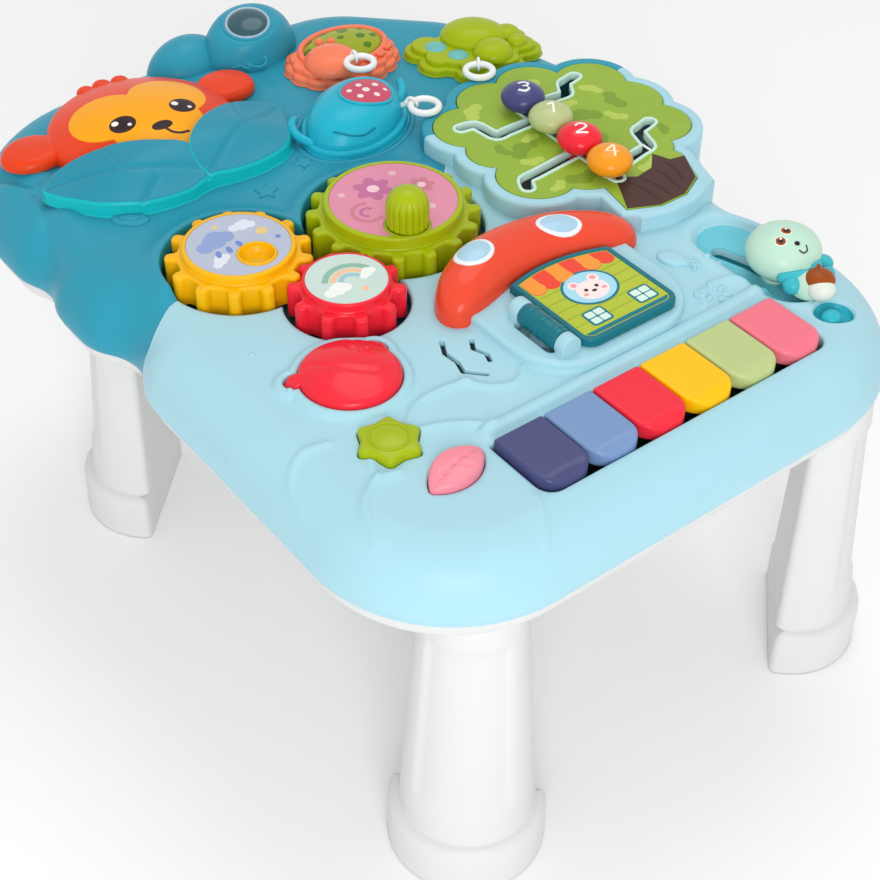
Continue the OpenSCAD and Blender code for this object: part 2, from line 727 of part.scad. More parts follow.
module yellow_gear() color("#ffc713") on_deck(yellow_at) difference() {
  gear(yellow_n, mesh_phase(yellow_dir, yellow_n), yellow_label_r + 2.4, hub_top);
  translate([dimple_off.x, dimple_off.y, hub_top + 2]) sphere(r = 9);
}
module yellow_gear_label() color("#b9c3da") on_deck(yellow_at) difference() {
  disc(yellow_label_r, hub_top, hub_top + label_t);
  translate(dimple_off) disc(10.5, hub_top - 1, hub_top + 2);
}

module green_gear() color("#a9b90f") on_deck(green_at) {
  gear(green_n, mesh_phase(green_dir, green_n), green_label_r + 3, green_top);
  translate(knob_off) disc(knob_post_r, green_top - 1, knob_z + knob_h - 8);
}
module green_gear_label() color("#e29ab4") on_deck(green_at) difference() {
  disc(green_label_r, green_top, green_top + label_t);
  translate(knob_off) disc(knob_r + 1.5, green_top - 1, green_top + 2);
}
module gear_knob() color("#a9b90f") on_deck(green_at + knob_off) difference() {
  union() {
    slab([for (i = [0:17], k = [[-6, -0.3], [-3.5, 0.6], [3.5, 0.6], [6, -0.3]])
      rot([knob_r + k[1], 0], 20 * i + k[0])], knob_z, knob_z + knob_h * 0.5);
    disc(knob_r - 0.6, knob_z + 2, knob_z + knob_h * 0.55);
    translate([0, 0, knob_z + knob_h * 0.55]) dome(knob_r - 0.6, 0, knob_h * 0.45);
  }
  disc(knob_post_r + run_fit, knob_z - 1, knob_z + knob_h - 7);
}

tray_floor_z = band_z0 - 2.5;
module gear_tray() color("#1f4f5a") on_deck() {
  difference() {
    wells(2.5, tray_floor_z - 2.5, -shell_t);
    wells(0, tray_floor_z, 0);
    // lower edge where the deck's rim falls away
    translate([-half_w, -40, -2 * shell_t - 0.5]) cube([half_w - 136, 110, 2 * shell_t]);
  }
  for (g = gears) translate(g[0]) {
    disc(axle_r, tray_floor_z - 1, band_top - 2);
    disc(axle_r + 4, tray_floor_z - 1, band_z0 - 0.2);
  }
}

// ---------- house ----------

arch_at = [house_x, -168];
arch_r = 87;
door_x0 = hinge_x + barrel_r + 1.5;
door_z0 = pad_h + parting;
door_low_y = -146;
door_corners = [[door_x0, -70, 8], [door_x0, door_low_y, 8], [door_x0 + door_w, door_low_y, 8],
  [door_x0 + door_w, -70, 8]];

module door_plan(in, z0, z1) intersection() {
  slab(rounded(door_corners, 10, in), z0, z1);
  translate(arch_at) disc(arch_r - 2 - in, z0, z1);
}

module house_door() color("#147083") on_deck() difference() {
  union() {
    door_plan(0, door_z0, door_z0 + door_t);
    translate([hinge_x, hinge_y - barrel_len / 2 + 2, door_z0])
      cube([door_x0 - hinge_x + 2, barrel_len - 4, door_t]);
    hinge_cylinder(barrel_r, barrel_len);
  }
  door_plan(3, door_z0 + door_t - 0.6, door_z0 + door_t + 1);
  hinge_cylinder(pin_r + run_fit, barrel_len + 2);
}
module door_picture() color("#c3d04f") on_deck()
  door_plan(3 + parting, door_z0 + door_t - 0.6, door_z0 + door_t);
module door_pin() color("silver") on_deck() hinge_cylinder(pin_r, barrel_len + 2 * (ear_gap + ear_len));

// Mushroom cap: half-oval sections along an arch over the door
cap_half = 37;
cap_w = 17.5;
cap_mid_r = arch_r + cap_w;
cap_n = 28;
cap_m = 12;
function cap_ring(k) =
  let(t = 2 * k / cap_n - 1, s = pow(max(1 - pow(abs(t), 4), 0.0004), 0.5), a = 90 - cap_half * t)
  [for (j = [0:cap_m])
    let(b = 180 * j / cap_m, c = cos(b), q = sin(b),
        rr = cap_mid_r - 2.5 * t * t + cap_w * s * sign(c) * pow(abs(c), 0.8),
        z = cap_h * pow(s, 0.8) * pow(max(q, 0), 0.75))
    [arch_at.x + rr * cos(a), arch_at.y + rr * sin(a), z]];
spots = [[-19, -66], [33, -68]];

module cap_solid() {
  n = cap_m + 1;
  polyhedron(
    points = [for (k = [0:cap_n]) each cap_ring(k)],
    faces = concat(
      [[for (j = [0:cap_m]) j]],
      [for (k = [0:cap_n - 1], j = [0:cap_m]) [k * n + j, (k + 1) * n + j, (k + 1) * n + (j + 1) % n]],
      [for (k = [0:cap_n - 1], j = [0:cap_m]) [k * n + j, (k + 1) * n + (j + 1) % n, k * n + (j + 1) % n]],
      [[for (j = [0:cap_m]) cap_n * n + cap_m - j]]));
}

module mushroom_cap() color("#ee5538") on_deck() difference() {
  cap_solid();
  for (p = spots) translate(p) disc(spot_r + parting, cap_h - 10, cap_h + 5);
}
module mushroom_lights() color("#c5cbe8") on_deck() for (p = spots) translate(p) {
  disc(spot_r, cap_h - 10, cap_h - 3);
  translate([0, 0, cap_h - 3]) dome(spot_r, 0, 2.5);
}

// ---------- tree ----------

arm_ul = [[98, 25], [70, 25], [67, 41], [59, 43]];
arm_ur = [[column_at.x, column_at.y], [131, 36.5], [138, 46], [148, 48.5]];
arm_ll = [column_at + 2 * column_step, [55, -18.5], [51, -25]];
arm_lr = [column_at + 3 * column_step, [131, -33.5], [137, -18.5], [149, -15]];
column = [column_at + [0.5, 8], column_at + 3 * column_step - [0.4, 6]];
slots = [column, arm_ul, arm_ur, arm_ll, arm_lr];

module slot_path(r, z0, z1) for (s = slots) slab(thick(s, r), z0, z1);

module tree_plate() color("#9db83c") on_deck() difference() {
  crown(0, seat_z, plate_z);
  slot_path(slot_w / 2 + lining_w, seat_z - 1, plate_z + 1);
}
module slot_lining() color("#bfe6df") on_deck() difference() {
  slot_path(slot_w / 2 + lining_w - 0.05, seat_z, plate_z + 0.8);
  slot_path(slot_w / 2, seat_z - 1, plate_z + 2);
}

stem_r = 2.4;
bead_z0 = plate_z + 0.8 + 0.2;
module bead(i, c) color(c) on_deck(column_at + i * column_step) {
  intersection() {
    translate([0, 0, bead_z0 + bead_h / 2]) sphere(r = bead_r);
    disc(bead_r + 1, bead_z0, bead_z0 + bead_h);
  }
  disc(stem_r, seat_z - 2.5, bead_z0 + 1);
  disc(slot_w / 2 + 2.4, seat_z - 2.5, seat_z - 0.4);
}

// ---------- monkey ----------

head_z0 = parting;
dome_ball = 120;
head_top = 20;
ear_off = [61, 13];
ear_h = 11;
module head_plan(grow, z0, z1) disc(head_r + grow, z0, z1);
module head_ball(grow) translate([0, 0, head_top - dome_ball]) sphere(r = dome_ball + grow, $fn = 120);
module ears(grow, z0, z1) for (s = [-1, 1]) {
  translate([s * ear_off.x, ear_off.y]) disc(ear_r + grow, z0, z1);
  translate([s * (ear_off.x - 12) - 12, ear_off.y - 10, z0]) cube([24, 20, z1 - z0]);
}

module monkey_head() color("#e8543a") on_deck(head_at) {
  difference() {
    union() {
      intersection() {
        head_plan(0, head_z0, head_top + 1);
        head_ball(0);
      }
      difference() {
        ears(0, head_z0 + 1, head_z0 + ear_h);
        head_plan(-1, 0, 30);
      }
      for (a = [76, 90, 104]) rotate(a) translate([head_r - 1.5, 0]) disc(6, head_z0 + 1, head_z0 + 8);
    }
    head_plan(-3, 0, head_z0 + 3);
  }
  translate([-guide_w / 2, -guide_d / 2, -shell_t - 3]) cube([guide_w, guide_d, shell_t + 3 + head_z0 + 8]);
  translate([-guide_w / 2 - 3, -guide_d / 2, -shell_t - 3.4]) cube([guide_w + 6, guide_d, 3]);
}

// Face mask: two eye rounds and a muzzle, a skin over the head's dome
mask_t = 1;
module monkey_face() color("#fdb515") on_deck(head_at) difference() {
  intersection() {
    union() {
      for (s = [-1, 1]) translate([s * 19, 6]) disc(22, 2, 30);
      translate([0, -18]) disc(27, 2, 30);
    }
    head_ball(mask_t + 0.05);
  }
  head_ball(0.05);
}

leaf_left = [[-80, 80, 4], [-73, 112, 6], [-98, 130, 20], [-146, 133, 14], [-163, 122, 8],
  [-148, 86, 24], [-122, 76, 28]];
leaf_right = [[-85.5, 82, 3], [-55, 75.5, 30], [-31, 79.5, 14], [-14.5, 108, 12], [-17, 125, 8],
  [-34, 130.5, 16], [-62, 128.5, 22], [-82, 108, 14]];
leaf_t = 2.6;
module leaf_block(c, in, drop) intersection() {
  slab(rounded(c, 8, in), drop == 0 ? 0 : -1, 40);
  translate([-200, 76, leaf_front_h - drop]) rotate([leaf_slope, 0, 0]) translate([0, -40, -40])
    cube([240, 200, 40]);
}
module leaf_cover() color(teal) on_deck() difference() {
  union() {
    leaf_block(leaf_left, 0, 0);
    leaf_block(leaf_right, 0, 0);
  }
  leaf_block(leaf_left, leaf_t, leaf_t);
  leaf_block(leaf_right, leaf_t, leaf_t);
  for (k = [0:2]) translate([head_at.x, head_at.y - head_travel * k / 2]) {
    intersection() {
      head_plan(1, -1, 40);
      head_ball(0.9);
    }
    ears(0.8, -1, head_z0 + ear_h + 0.6);
    intersection() {
      translate([0, -head_r * 0.2, 0]) disc(48, -1, 40);
      head_ball(mask_t + 0.9);
    }
  }
  translate([head_at.x - guide_w, head_at.y - 30, -1]) cube([2 * guide_w, 60, 6]);
}

// ---------- rattles ----------

rest_z = parting;
function turned(pts, a, at) = [for (p = pts) [p.x * cos(a) - p.y * sin(a), p.x * sin(a) + p.y * cos(a)] + at];

// A ring threaded through an eyelet; the ring turns about the eyelet's bore
eyelet_len = 3;
module carry_ring(at, dir, z) on_deck(at, z) rotate(dir) translate([ring_r, 0, 0])
  rotate_extrude() translate([ring_r, 0]) circle(r = ring_wire, $fn = 24);
module eyelet(at, dir, z, reach) on_deck(at) rotate(dir) difference() {
  translate([-reach, -eyelet_len / 2, 2]) cube([reach + ring_wire + 2, eyelet_len, z + ring_wire]);
  translate([0, 0, z]) rotate([90, 0, 0]) cylinder(r = ring_wire + 0.45, h = eyelet_len + 2, center = true);
}

snail_base = ellipse_pts(36, 29.5);
snail_dome_at = [-15, -2];
snail_dome_r = 14;
snail_window_at = [11, 4];
snail_window_r = 19;
snail_ring_at = [-7, -15];
snail_ring_dir = -100;
snail_ring_z = 15;
ring_z = 12.6;

module snail_rattle() color("#f59070") {
  on_deck(snail_at) difference() {
    union() {
      slab(snail_base, rest_z, rattle_t);
      slab(inset(snail_base, 3), rattle_t - 1, rattle_t + 3);
      translate(snail_dome_at) dome(snail_dome_r, rattle_t + 2, rattle_h - 2.5);
    }
    difference() {
      translate(snail_window_at) disc(snail_window_r + parting, rattle_t, rattle_t + 4);
      translate(snail_dome_at) disc(snail_dome_r + 1, 0, 30);
    }
  }
  eyelet(snail_at + snail_ring_at, snail_ring_dir, snail_ring_z, 3);
}
module snail_window() color("#8fa818") on_deck(snail_at) difference() {
  translate([snail_window_at.x, snail_window_at.y, rattle_t]) dome(snail_window_r, 0, 6);
  translate(snail_dome_at) disc(snail_dome_r + 1 + parting, 0, 30);
}
module snail_ring() color(white) carry_ring(snail_at + snail_ring_at, snail_ring_dir, snail_ring_z);

whale_turn = 26;
whale_base = turned(ellipse_pts(38, 28), whale_turn, [0, 0]);
whale_window_at = [5, 4];
whale_window_r = 15;
whale_ring_at = [28.9, -15.9];
whale_ring_dir = -60;
module whale_rattle() color("#35afc6") {
  on_deck(whale_at) difference() {
    union() {
      slab(whale_base, rest_z, rattle_t - 1.5);
      intersection() {
        slab(inset(whale_base, 4), rattle_t - 2.5, 30);
        translate([0, 0, rattle_h - 52]) sphere(r = 52, $fn = 96);
      }
    }
    translate(whale_window_at) disc(whale_window_r, rattle_h - 4, 40);
  }
  eyelet(whale_at + whale_ring_at, whale_ring_dir, ring_z, 7);
}
module whale_window() color("#d9566b") on_deck(whale_at)
  translate([whale_window_at.x, whale_window_at.y, rattle_h - 4]) dome(whale_window_r - parting, 0, 5);
module whale_ring() color(white) carry_ring(whale_at + whale_ring_at, whale_ring_dir, ring_z);

frog_turn = -22;
frog_base = turned(ellipse_pts(37, 27), frog_turn, [0, 0]);
frog_body_at = [4, 2];
frog_head_at = [20, -10];
frog_window_at = [[-20, 14], [-21, -1]];
frog_ring_at = [-17, -25];
frog_ring_dir = -125;
module frog_rattle() color("#a4b60f") {
  on_deck(frog_at) difference() {
    union() {
      slab(frog_base, rest_z, rattle_t - 2);
      slab(inset(frog_base, 3), rattle_t - 3, rattle_t + 1);
      translate([frog_body_at.x, frog_body_at.y, rattle_t]) dome(19, 0, rattle_h + 1 - rattle_t);
      translate([frog_head_at.x, frog_head_at.y, rattle_t]) dome(12, 0, 8);
    }
    for (p = frog_window_at) translate(p) disc(6.5, rattle_t - 1, rattle_t + 2);
  }
  eyelet(frog_at + frog_ring_at, frog_ring_dir, ring_z, 7);
}
module frog_windows() color("#8fd0c0") on_deck(frog_at) for (p = frog_window_at)
  translate([p.x, p.y, rattle_t - 1]) dome(6.5 - parting, 0, 3);
module frog_ring() color(white) carry_ring(frog_at + frog_ring_at, frog_ring_dir, ring_z);

// ---------- squirrel and lamp ----------

squirrel_stem = groove_w / 2 - 0.35;
module squirrel_slider() color("#c9ecdd") on_deck(squirrel_at) {
  intersection() {
    translate([0, 0, 9]) sphere(r = squirrel_r);
    disc(squirrel_r + 1, parting, 40);
  }
  translate([0, -23, 0]) intersection() {
    translate([0, 0, 4]) sphere(r = 12);
    disc(13, parting, 30);
  }
  disc(squirrel_stem, -shell_t - 4, 3);
  disc(groove_w / 2 + 3, -shell_t - 4, -shell_t - 0.4);
}

lens_tilt = 11;
lens_dir = -128;
module lamp_place() translate([pod_at.x, pod_at.y, 1]) rotate([0, 0, lens_dir]) rotate([0, lens_tilt, 0])
  translate([0, 0, pod_r - 4]) children();
module lamp_lens() color("#3c5d63") on_deck() lamp_place() dome(lens_r, -4, 3);

base_tray();
deck_front();
deck_back();
leg(0);  // leg_front_left
leg(1);  // leg_front_right
leg(2);  // leg_rear_left
leg(3);  // leg_rear_right
battery_cover();
batteries();
circuit_board();
key_board();
button_switches();
key_contacts();
speaker();
base_screws();
cover_screw();
power_switch();
key_rod();
key(0);  // key_1
key(1);  // key_2
key(2);  // key_3
key(3);  // key_4
key(4);  // key_5
key(5);  // key_6
fish_button();
star_button();
leaf_button();
gear_tray();
green_gear();
green_gear_label();
gear_knob();
yellow_gear();
yellow_gear_label();
red_gear();
red_gear_label();
mushroom_cap();
mushroom_lights();
house_door();
door_picture();
door_pin();
tree_plate();
slot_lining();
bead(0, "#4d5078");  // bead_navy
bead(1, "#d3db9b");  // bead_green
bead(2, "#ee3040");  // bead_red
bead(3, "#f5a623");  // bead_orange
leaf_cover();
monkey_head();
monkey_face();
snail_rattle();
snail_window();
snail_ring();
whale_rattle();
whale_window();
whale_ring();
frog_rattle();
frog_windows();
frog_ring();
squirrel_slider();
lamp_lens();
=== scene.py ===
"""Musical activity table: pieces drawn over the CAD frame, stage, lights and camera."""
import math

import bpy
import numpy as np
from mathutils import Matrix, Vector
from mathutils.geometry import delaunay_2d_cdt


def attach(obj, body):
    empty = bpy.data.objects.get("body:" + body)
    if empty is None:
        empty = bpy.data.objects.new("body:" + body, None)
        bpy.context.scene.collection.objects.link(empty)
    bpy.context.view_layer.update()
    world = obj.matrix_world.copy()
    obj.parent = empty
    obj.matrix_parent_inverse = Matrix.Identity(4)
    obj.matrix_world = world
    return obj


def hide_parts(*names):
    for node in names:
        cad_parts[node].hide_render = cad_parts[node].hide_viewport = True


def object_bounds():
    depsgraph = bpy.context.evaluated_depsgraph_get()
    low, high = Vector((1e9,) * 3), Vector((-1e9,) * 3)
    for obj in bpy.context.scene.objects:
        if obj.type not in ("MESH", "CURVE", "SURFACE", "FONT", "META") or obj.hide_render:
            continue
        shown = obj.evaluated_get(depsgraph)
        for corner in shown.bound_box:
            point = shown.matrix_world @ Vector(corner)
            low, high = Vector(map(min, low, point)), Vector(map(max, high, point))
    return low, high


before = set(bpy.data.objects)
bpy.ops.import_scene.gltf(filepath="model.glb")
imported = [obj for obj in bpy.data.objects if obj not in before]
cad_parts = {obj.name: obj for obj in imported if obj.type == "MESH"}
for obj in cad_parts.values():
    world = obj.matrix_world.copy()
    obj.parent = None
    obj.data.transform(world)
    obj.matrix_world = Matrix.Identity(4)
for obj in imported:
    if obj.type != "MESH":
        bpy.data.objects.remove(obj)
cad_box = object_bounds()

# All drawing below is in millimetres, z counted from the deck's top
TOP = 230.0
# Foot of a form whose wall is shortened afterwards
FAR_DOWN = -999.0
QUARTER = math.pi / 2


# ---------- materials ----------

COAT_SHARE, COAT_ROUGH, SPECULAR, IOR = 0.35, 0.08, 0.25, 1.36
DRIFT_SCALE, GRAIN_SCALE, GLOSS_DRIFT = 22.0, 1600.0, 0.05
made = {}


def linear(hexa):
    """Hex colour to linear RGBA."""
    c = [int(hexa[i:i + 2], 16) / 255 for i in (1, 3, 5)]
    return tuple(x / 12.92 if x <= 0.04045 else ((x + 0.055) / 1.055) ** 2.4 for x in c) + (1.0,)


def add_node(tree, kind, values=()):
    node = tree.nodes.new("ShaderNode" + kind)
    for name, value in values:
        node.inputs[name].default_value = value
    return node


def plastic(hexa, rough=0.3, vary=0.05, grain=0.012, coat=0.0, metal=0.0):
    """Moulded plastic: colour and gloss drift a little, over a fine grain."""
    key = (hexa, rough, vary, grain, coat, metal)
    if key in made:
        return made[key]
    mat = bpy.data.materials.new("plastic_%02d" % len(made))
    mat.use_nodes = True
    tree = mat.node_tree
    shader = tree.nodes["Principled BSDF"]
    place = add_node(tree, "TexCoord")
    drift = add_node(tree, "TexNoise", [("Scale", DRIFT_SCALE), ("Detail", 3.0)])
    fine = add_node(tree, "TexNoise", [("Scale", GRAIN_SCALE)])
    mix = add_node(tree, "Mix")
    mix.data_type = "RGBA"
    for socket, k in (("A", 1 - vary), ("B", 1 + vary)):
        mix.inputs[socket].default_value = tuple(min(1.0, c * k) for c in linear(hexa)[:3]) + (1.0,)
    gloss = add_node(tree, "MapRange", [("To Min", max(0.02, rough - GLOSS_DRIFT)),
                                        ("To Max", rough + GLOSS_DRIFT)])
    bump = add_node(tree, "Bump", [("Strength", 0.35), ("Distance", grain * 0.001)])
    for source, out, target, into in (
            (place, "Object", drift, "Vector"), (place, "Object", fine, "Vector"),
            (drift, "Fac", mix, "Factor"), (mix, "Result", shader, "Base Color"),
            (drift, "Fac", gloss, "Value"), (gloss, "Result", shader, "Roughness"),
            (fine, "Fac", bump, "Height"), (bump, "Normal", shader, "Normal")):
        tree.links.new(source.outputs[out], target.inputs[into])
    for name, value in (("Metallic", metal), ("Coat Weight", coat * COAT_SHARE),
                        ("Coat Roughness", COAT_ROUGH),
                        ("Specular IOR Level", SPECULAR), ("IOR", IOR)):
        shader.inputs[name].default_value = value
    made[key] = mat
    return mat


def plastics(rough, *tints):
    return [plastic(tint, rough) for tint in tints]


# ---------- plane geometry ----------

def arr(p):
    return np.asarray(p, float).reshape(-1, 2)


def unit(v):
    return v / np.linalg.norm(v)


def turns(n):
    """Angles of n equal steps round a circle."""
    return np.linspace(0, 2 * np.pi, n, endpoint=False)


def heading(degrees):
    return np.array([math.cos(math.radians(degrees)), math.sin(math.radians(degrees))])


def level(top):
    """Height function of a flat top, unless top is one already."""
    return top if callable(top) else (lambda q: np.full(len(q), float(top)))


def above(top, up):
    return lambda q: top(q) + up


def at_height(p, z):
    """Plane points with z, a number or one value per point."""
    return np.column_stack([p, np.broadcast_to(np.asarray(z, float), len(p))])


def drape(line, top, lift=0.0):
    """Plane line laid on a skin."""
    q = arr(line)
    return at_height(q, top(q) + lift)


def height_at(top, x, y):
    return float(top(arr([(x, y)]))[0])


def rounded(corners, n=8, d=0.0):
    """Outline through [x, y, radius] corners, moved in by d."""
    out, m = [], len(corners)
    for i in range(m):
        a, b, c = (np.array(corners[(i + k) % m][:2], float) for k in (-1, 0, 1))
        r = corners[i][2]
        u, v = unit(a - b), unit(c - b)
        half = math.acos(max(-1, min(1, float(u @ v)))) / 2
        mid = b + unit(u + v) * r / math.sin(half)
        p, q = b + u * r / math.tan(half) - mid, b + v * r / math.tan(half) - mid
        start = math.atan2(p[1], p[0])
        turn = (math.atan2(q[1], q[0]) - start + 3 * math.pi) % (2 * math.pi) - math.pi
        arc = r - d if turn > 0 else r + d
        for k in range(n + 1):
            t = start + turn * k / n
            out.append(mid + arc * np.array([math.cos(t), math.sin(t)]))
    return np.array(out)


def box(x0, y0, x1, y1, r=0.0, n=5):
    corners = [(x0, y0), (x1, y0), (x1, y1), (x0, y1)]
    return rounded([(x, y, r) for x, y in corners], n) if r else arr(corners)


def move(p, x=0.0, y=0.0, turn=0.0):
    a = math.radians(turn)
    return arr(p) @ np.array([[math.cos(a), math.sin(a)], [-math.sin(a), math.cos(a)]]) + np.array([x, y])


def circle(x, y, r, n=48, ry=None, turn=0.0):
    t = turns(n)
    return move(np.stack([r * np.cos(t), (ry or r) * np.sin(t)], 1), x, y, turn)


def discs(x, y, table, n=40, grow=0.0):
    """Circles from [x, y, radius] rows measured from a point."""
    return [circle(x + px, y + py, r + grow, n) for px, py, r in table]


def dense(p, step, closed=True):
    """Points added so that none are further apart than step."""
    p = arr(p)
    out = []
    for i in range(len(p) if closed else len(p) - 1):
        a, b = p[i], p[(i + 1) % len(p)]
        k = max(1, int(math.ceil(np.linalg.norm(b - a) / step)))
        out += [a + (b - a) * j / k for j in range(k)]
    if not closed:
        out.append(p[-1])
    return np.array(out)


def thinned(p, gap):
    """Points of a line that are more than gap apart."""
    out = [p[0]]
    for q in p[1:]:
        if np.linalg.norm(q - out[-1]) > gap:
            out.append(q)
    return np.array(out)


def smooth_path(p, n=8, closed=False):
    """Catmull-Rom curve through points of any dimension."""
    p = np.asarray(p, float)
    m = len(p)
    out = []
    for i in range(m if closed else m - 1):
        if closed:
            a, b, c, d = (p[(i + k) % m] for k in (-1, 0, 1, 2))
        else:
            a, b, c, d = p[max(i - 1, 0)], p[i], p[i + 1], p[min(i + 2, m - 1)]
        for t in np.arange(n) / n:
            out.append(0.5 * (2 * b + (c - a) * t + (2 * a - 5 * b + 4 * c - d) * t * t
                              + (3 * b - a - 3 * c + d) * t ** 3))
    if not closed:
        out.append(p[-1])
    return np.array(out)


def beside(line):
    """Unit normals of an open line."""
    side = np.column_stack([-np.gradient(line[:, 1]), np.gradient(line[:, 0])])
    return side / np.maximum(np.linalg.norm(side, axis=1, keepdims=True), 1e-9)


def offset(p, d):
    """Closed counter-clockwise outline moved in by d along its corner normals."""
    p = arr(p)
    s = 0
    for edge in (p - np.roll(p, 1, 0), np.roll(p, -1, 0) - p):
        edge = edge / np.maximum(np.linalg.norm(edge, axis=1, keepdims=True), 1e-9)
        s = s + np.stack([-edge[:, 1], edge[:, 0]], 1)
    return p + d * (s / np.maximum((s * s).sum(1, keepdims=True), 0.5) * 2)


def ccw(p):
    """The outline, turned round if it runs clockwise."""
    p = arr(p)
    q = np.roll(p, -1, 0)
    return p if float((p[:, 0] * q[:, 1] - q[:, 0] * p[:, 1]).sum()) > 0 else p[::-1]


def inside(p, poly):
    p, poly = arr(p), arr(poly)
    x, y = p[:, 0], p[:, 1]
    hit = np.zeros(len(p), bool)
    for a, b in zip(poly, np.roll(poly, -1, 0)):
        cross = (a[1] > y) != (b[1] > y)
        if cross.any():
            at = (b[0] - a[0]) * (y - a[1]) / ((b[1] - a[1]) or 1e-12) + a[0]
            hit ^= cross & (x < at)
    return hit


def within(*outer, but=()):
    """Test for points that lie in every outer outline and in none of the others."""
    def test(c):
        ok = np.all([inside(c, p) for p in outer], axis=0)
        for p in but:
            ok &= ~inside(c, p)
        return ok
    return test


def distance(p, poly, closed=True):
    """Distance of points to a line of segments."""
    p, a = arr(p), arr(poly)
    b = np.roll(a, -1, 0)
    if not closed:
        a, b = a[:-1], b[:-1]
    best = np.full(len(p), 1e9)
    for s, e in zip(a, b):
        v = e - s
        t = np.clip(((p - s) @ v) / max(float(v @ v), 1e-12), 0, 1)
        best = np.minimum(best, np.linalg.norm(p - s - t[:, None] * v, axis=1))
    return best


def signed(p, poly):
    """Distance to an outline, negative inside it."""
    return distance(p, poly) * np.where(inside(p, poly), -1, 1)


def bell(q, line, w):
    """Bell of width w across an open line, 1 on it."""
    return np.exp(-(distance(q, line, False) / w) ** 2)


def mesh_plan(loops, keep, extra=()):
    """Triangles of the plane between [points, closed] loops; keep(points) picks them."""
    pts, edges = [], []
    for loop, closed in loops:
        s, m = len(pts), len(loop)
        pts += [Vector((float(x), float(y))) for x, y in loop]
        edges += [(s + i, s + (i + 1) % m) for i in range(m if closed else m - 1)]
    pts += [Vector((float(x), float(y))) for x, y in extra]
    v, _, f = delaunay_2d_cdt(pts, edges, [], 0, 1e-5, False)[:3]
    v = np.array([(p.x, p.y) for p in v])
    f = np.array([t for t in f if len(t) == 3])
    return used_only(v, f[keep(v[f].mean(1))])


def used_only(v, f):
    """Points that the triangles use, with the triangles renumbered."""
    used = np.unique(f)
    new = np.full(len(v), -1)
    new[used] = np.arange(len(used))
    return v[used], new[f]


def border(f):
    """Directed edges that only one triangle has."""
    seen = {}
    for t in f:
        for a, b in ((t[0], t[1]), (t[1], t[2]), (t[2], t[0])):
            if (b, a) in seen:
                del seen[(b, a)]
            else:
                seen[(a, b)] = True
    return list(seen)


def edge_loop(v, f):
    """Longest closed border of a flat mesh, as a counter-clockwise outline."""
    after = {}
    for a, b in border(f.tolist()):
        after.setdefault(a, []).append(b)
    best = []
    while after:
        start = next(iter(after))
        loop, b = [start], start
        while b in after:
            b = after[loop[-1]].pop()
            if not after[loop[-1]]:
                del after[loop[-1]]
            if b == start:
                break
            loop.append(b)
        if len(loop) > len(best):
            best = loop
    p = v[best]
    return ccw(p[np.linalg.norm(p - np.roll(p, 1, 0), axis=1) > 0.03])


def union(polys):
    """Outline of the outer edge of overlapping polygons."""
    return edge_loop(*mesh_plan([(ccw(p), True) for p in polys],
                                lambda c: np.any([inside(c, p) for p in polys], axis=0)))


def clipped(p, clip):
    """The part of one outline that lies in another, or None."""
    v, f = mesh_plan([(p, True), (clip, True)], within(p, clip))
    return edge_loop(v, f) if len(f) else None


def strips(path, r):
    """Rectangles of half width r along a path."""
    p, out = arr(path), []
    for a, b in zip(p[:-1], p[1:]):
        u = unit(b - a)
        w = np.array([-u[1], u[0]]) * r
        out.append(np.array([a - w, b - w, b + w, a + w]))
    return out


def thick(path, r, n=8):
    """Outline of a path with round ends, r to either side."""
    return union(strips(path, r) + [circle(*q, r, 4 * n) for q in arr(path)])


def grid(poly, step, gap):
    """Staggered points inside an outline, more than gap from its edge."""
    lo, hi = arr(poly).min(0), arr(poly).max(0)
    xs, ys = np.arange(lo[0] + step / 2, hi[0], step), np.arange(lo[1] + step / 2, hi[1], step)
    g = arr([(x + (step / 2 if j % 2 else 0), y) for j, y in enumerate(ys) for x in xs])
    g = g[inside(g, poly)]
    return g[distance(g, poly) > gap]


# ---------- solids ----------

class Part:
    """Several meshes gathered into one object."""

    def __init__(self):
        self.v, self.f, self.m = [], [], []

    def add(self, mesh, mat=0):
        """mat is one material index, or a list with one per face."""
        s = sum(len(x) for x in self.v)
        self.v.append(np.asarray(mesh[0], float).reshape(-1, 3))
        self.f += [tuple(int(i) + s for i in f) for f in mesh[1]]
        self.m += mat if isinstance(mat, list) else [mat] * len(mesh[1])
        return self

    def done(self, name, mats, body="table", stands_for=(), sharp=38.0):
        """Edges over the sharp angle stay crisp."""
        mesh = bpy.data.meshes.new(name)
        v = np.concatenate(self.v) / 1000.0
        v[:, 2] += TOP / 1000.0
        mesh.from_pydata([tuple(p) for p in v], [], self.f)
        mesh.validate()
        mesh.update()
        for p in mesh.polygons:
            p.use_smooth = True
        mesh.set_sharp_from_angle(angle=math.radians(sharp))
        for m in mats if isinstance(mats, list) else [mats]:
            mesh.materials.append(m)
        obj = bpy.data.objects.new(name, mesh)
        bpy.context.scene.collection.objects.link(obj)
        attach(obj, body)
        if stands_for:
            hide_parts(stands_for)
        if isinstance(mats, list) and len(mesh.polygons) == len(self.m):
            mesh.polygons.foreach_set("material_index", self.m)


def rings_mesh(rings, close=True):
    """Quads between rings of equal length; the last ring isn't capped."""
    v, f, n = [], [], len(rings[0])
    for r in rings:
        v += [tuple(p) for p in r]
    for k in range(len(rings) - 1):
        for i in range(n if close else n - 1):
            j = (i + 1) % n
            f.append([k * n + i, k * n + j, (k + 1) * n + j, (k + 1) * n + i])
    return v, f


def close_below(v, f, loop, z):
    """Flat underside within a loop, added to a mesh."""
    q, t = mesh_plan([(loop, True)], within(loop))
    s = len(v)
    v += [(x, y, z) for x, y in q]
    f += [[s + x[2], s + x[1], s + x[0]] for x in t]


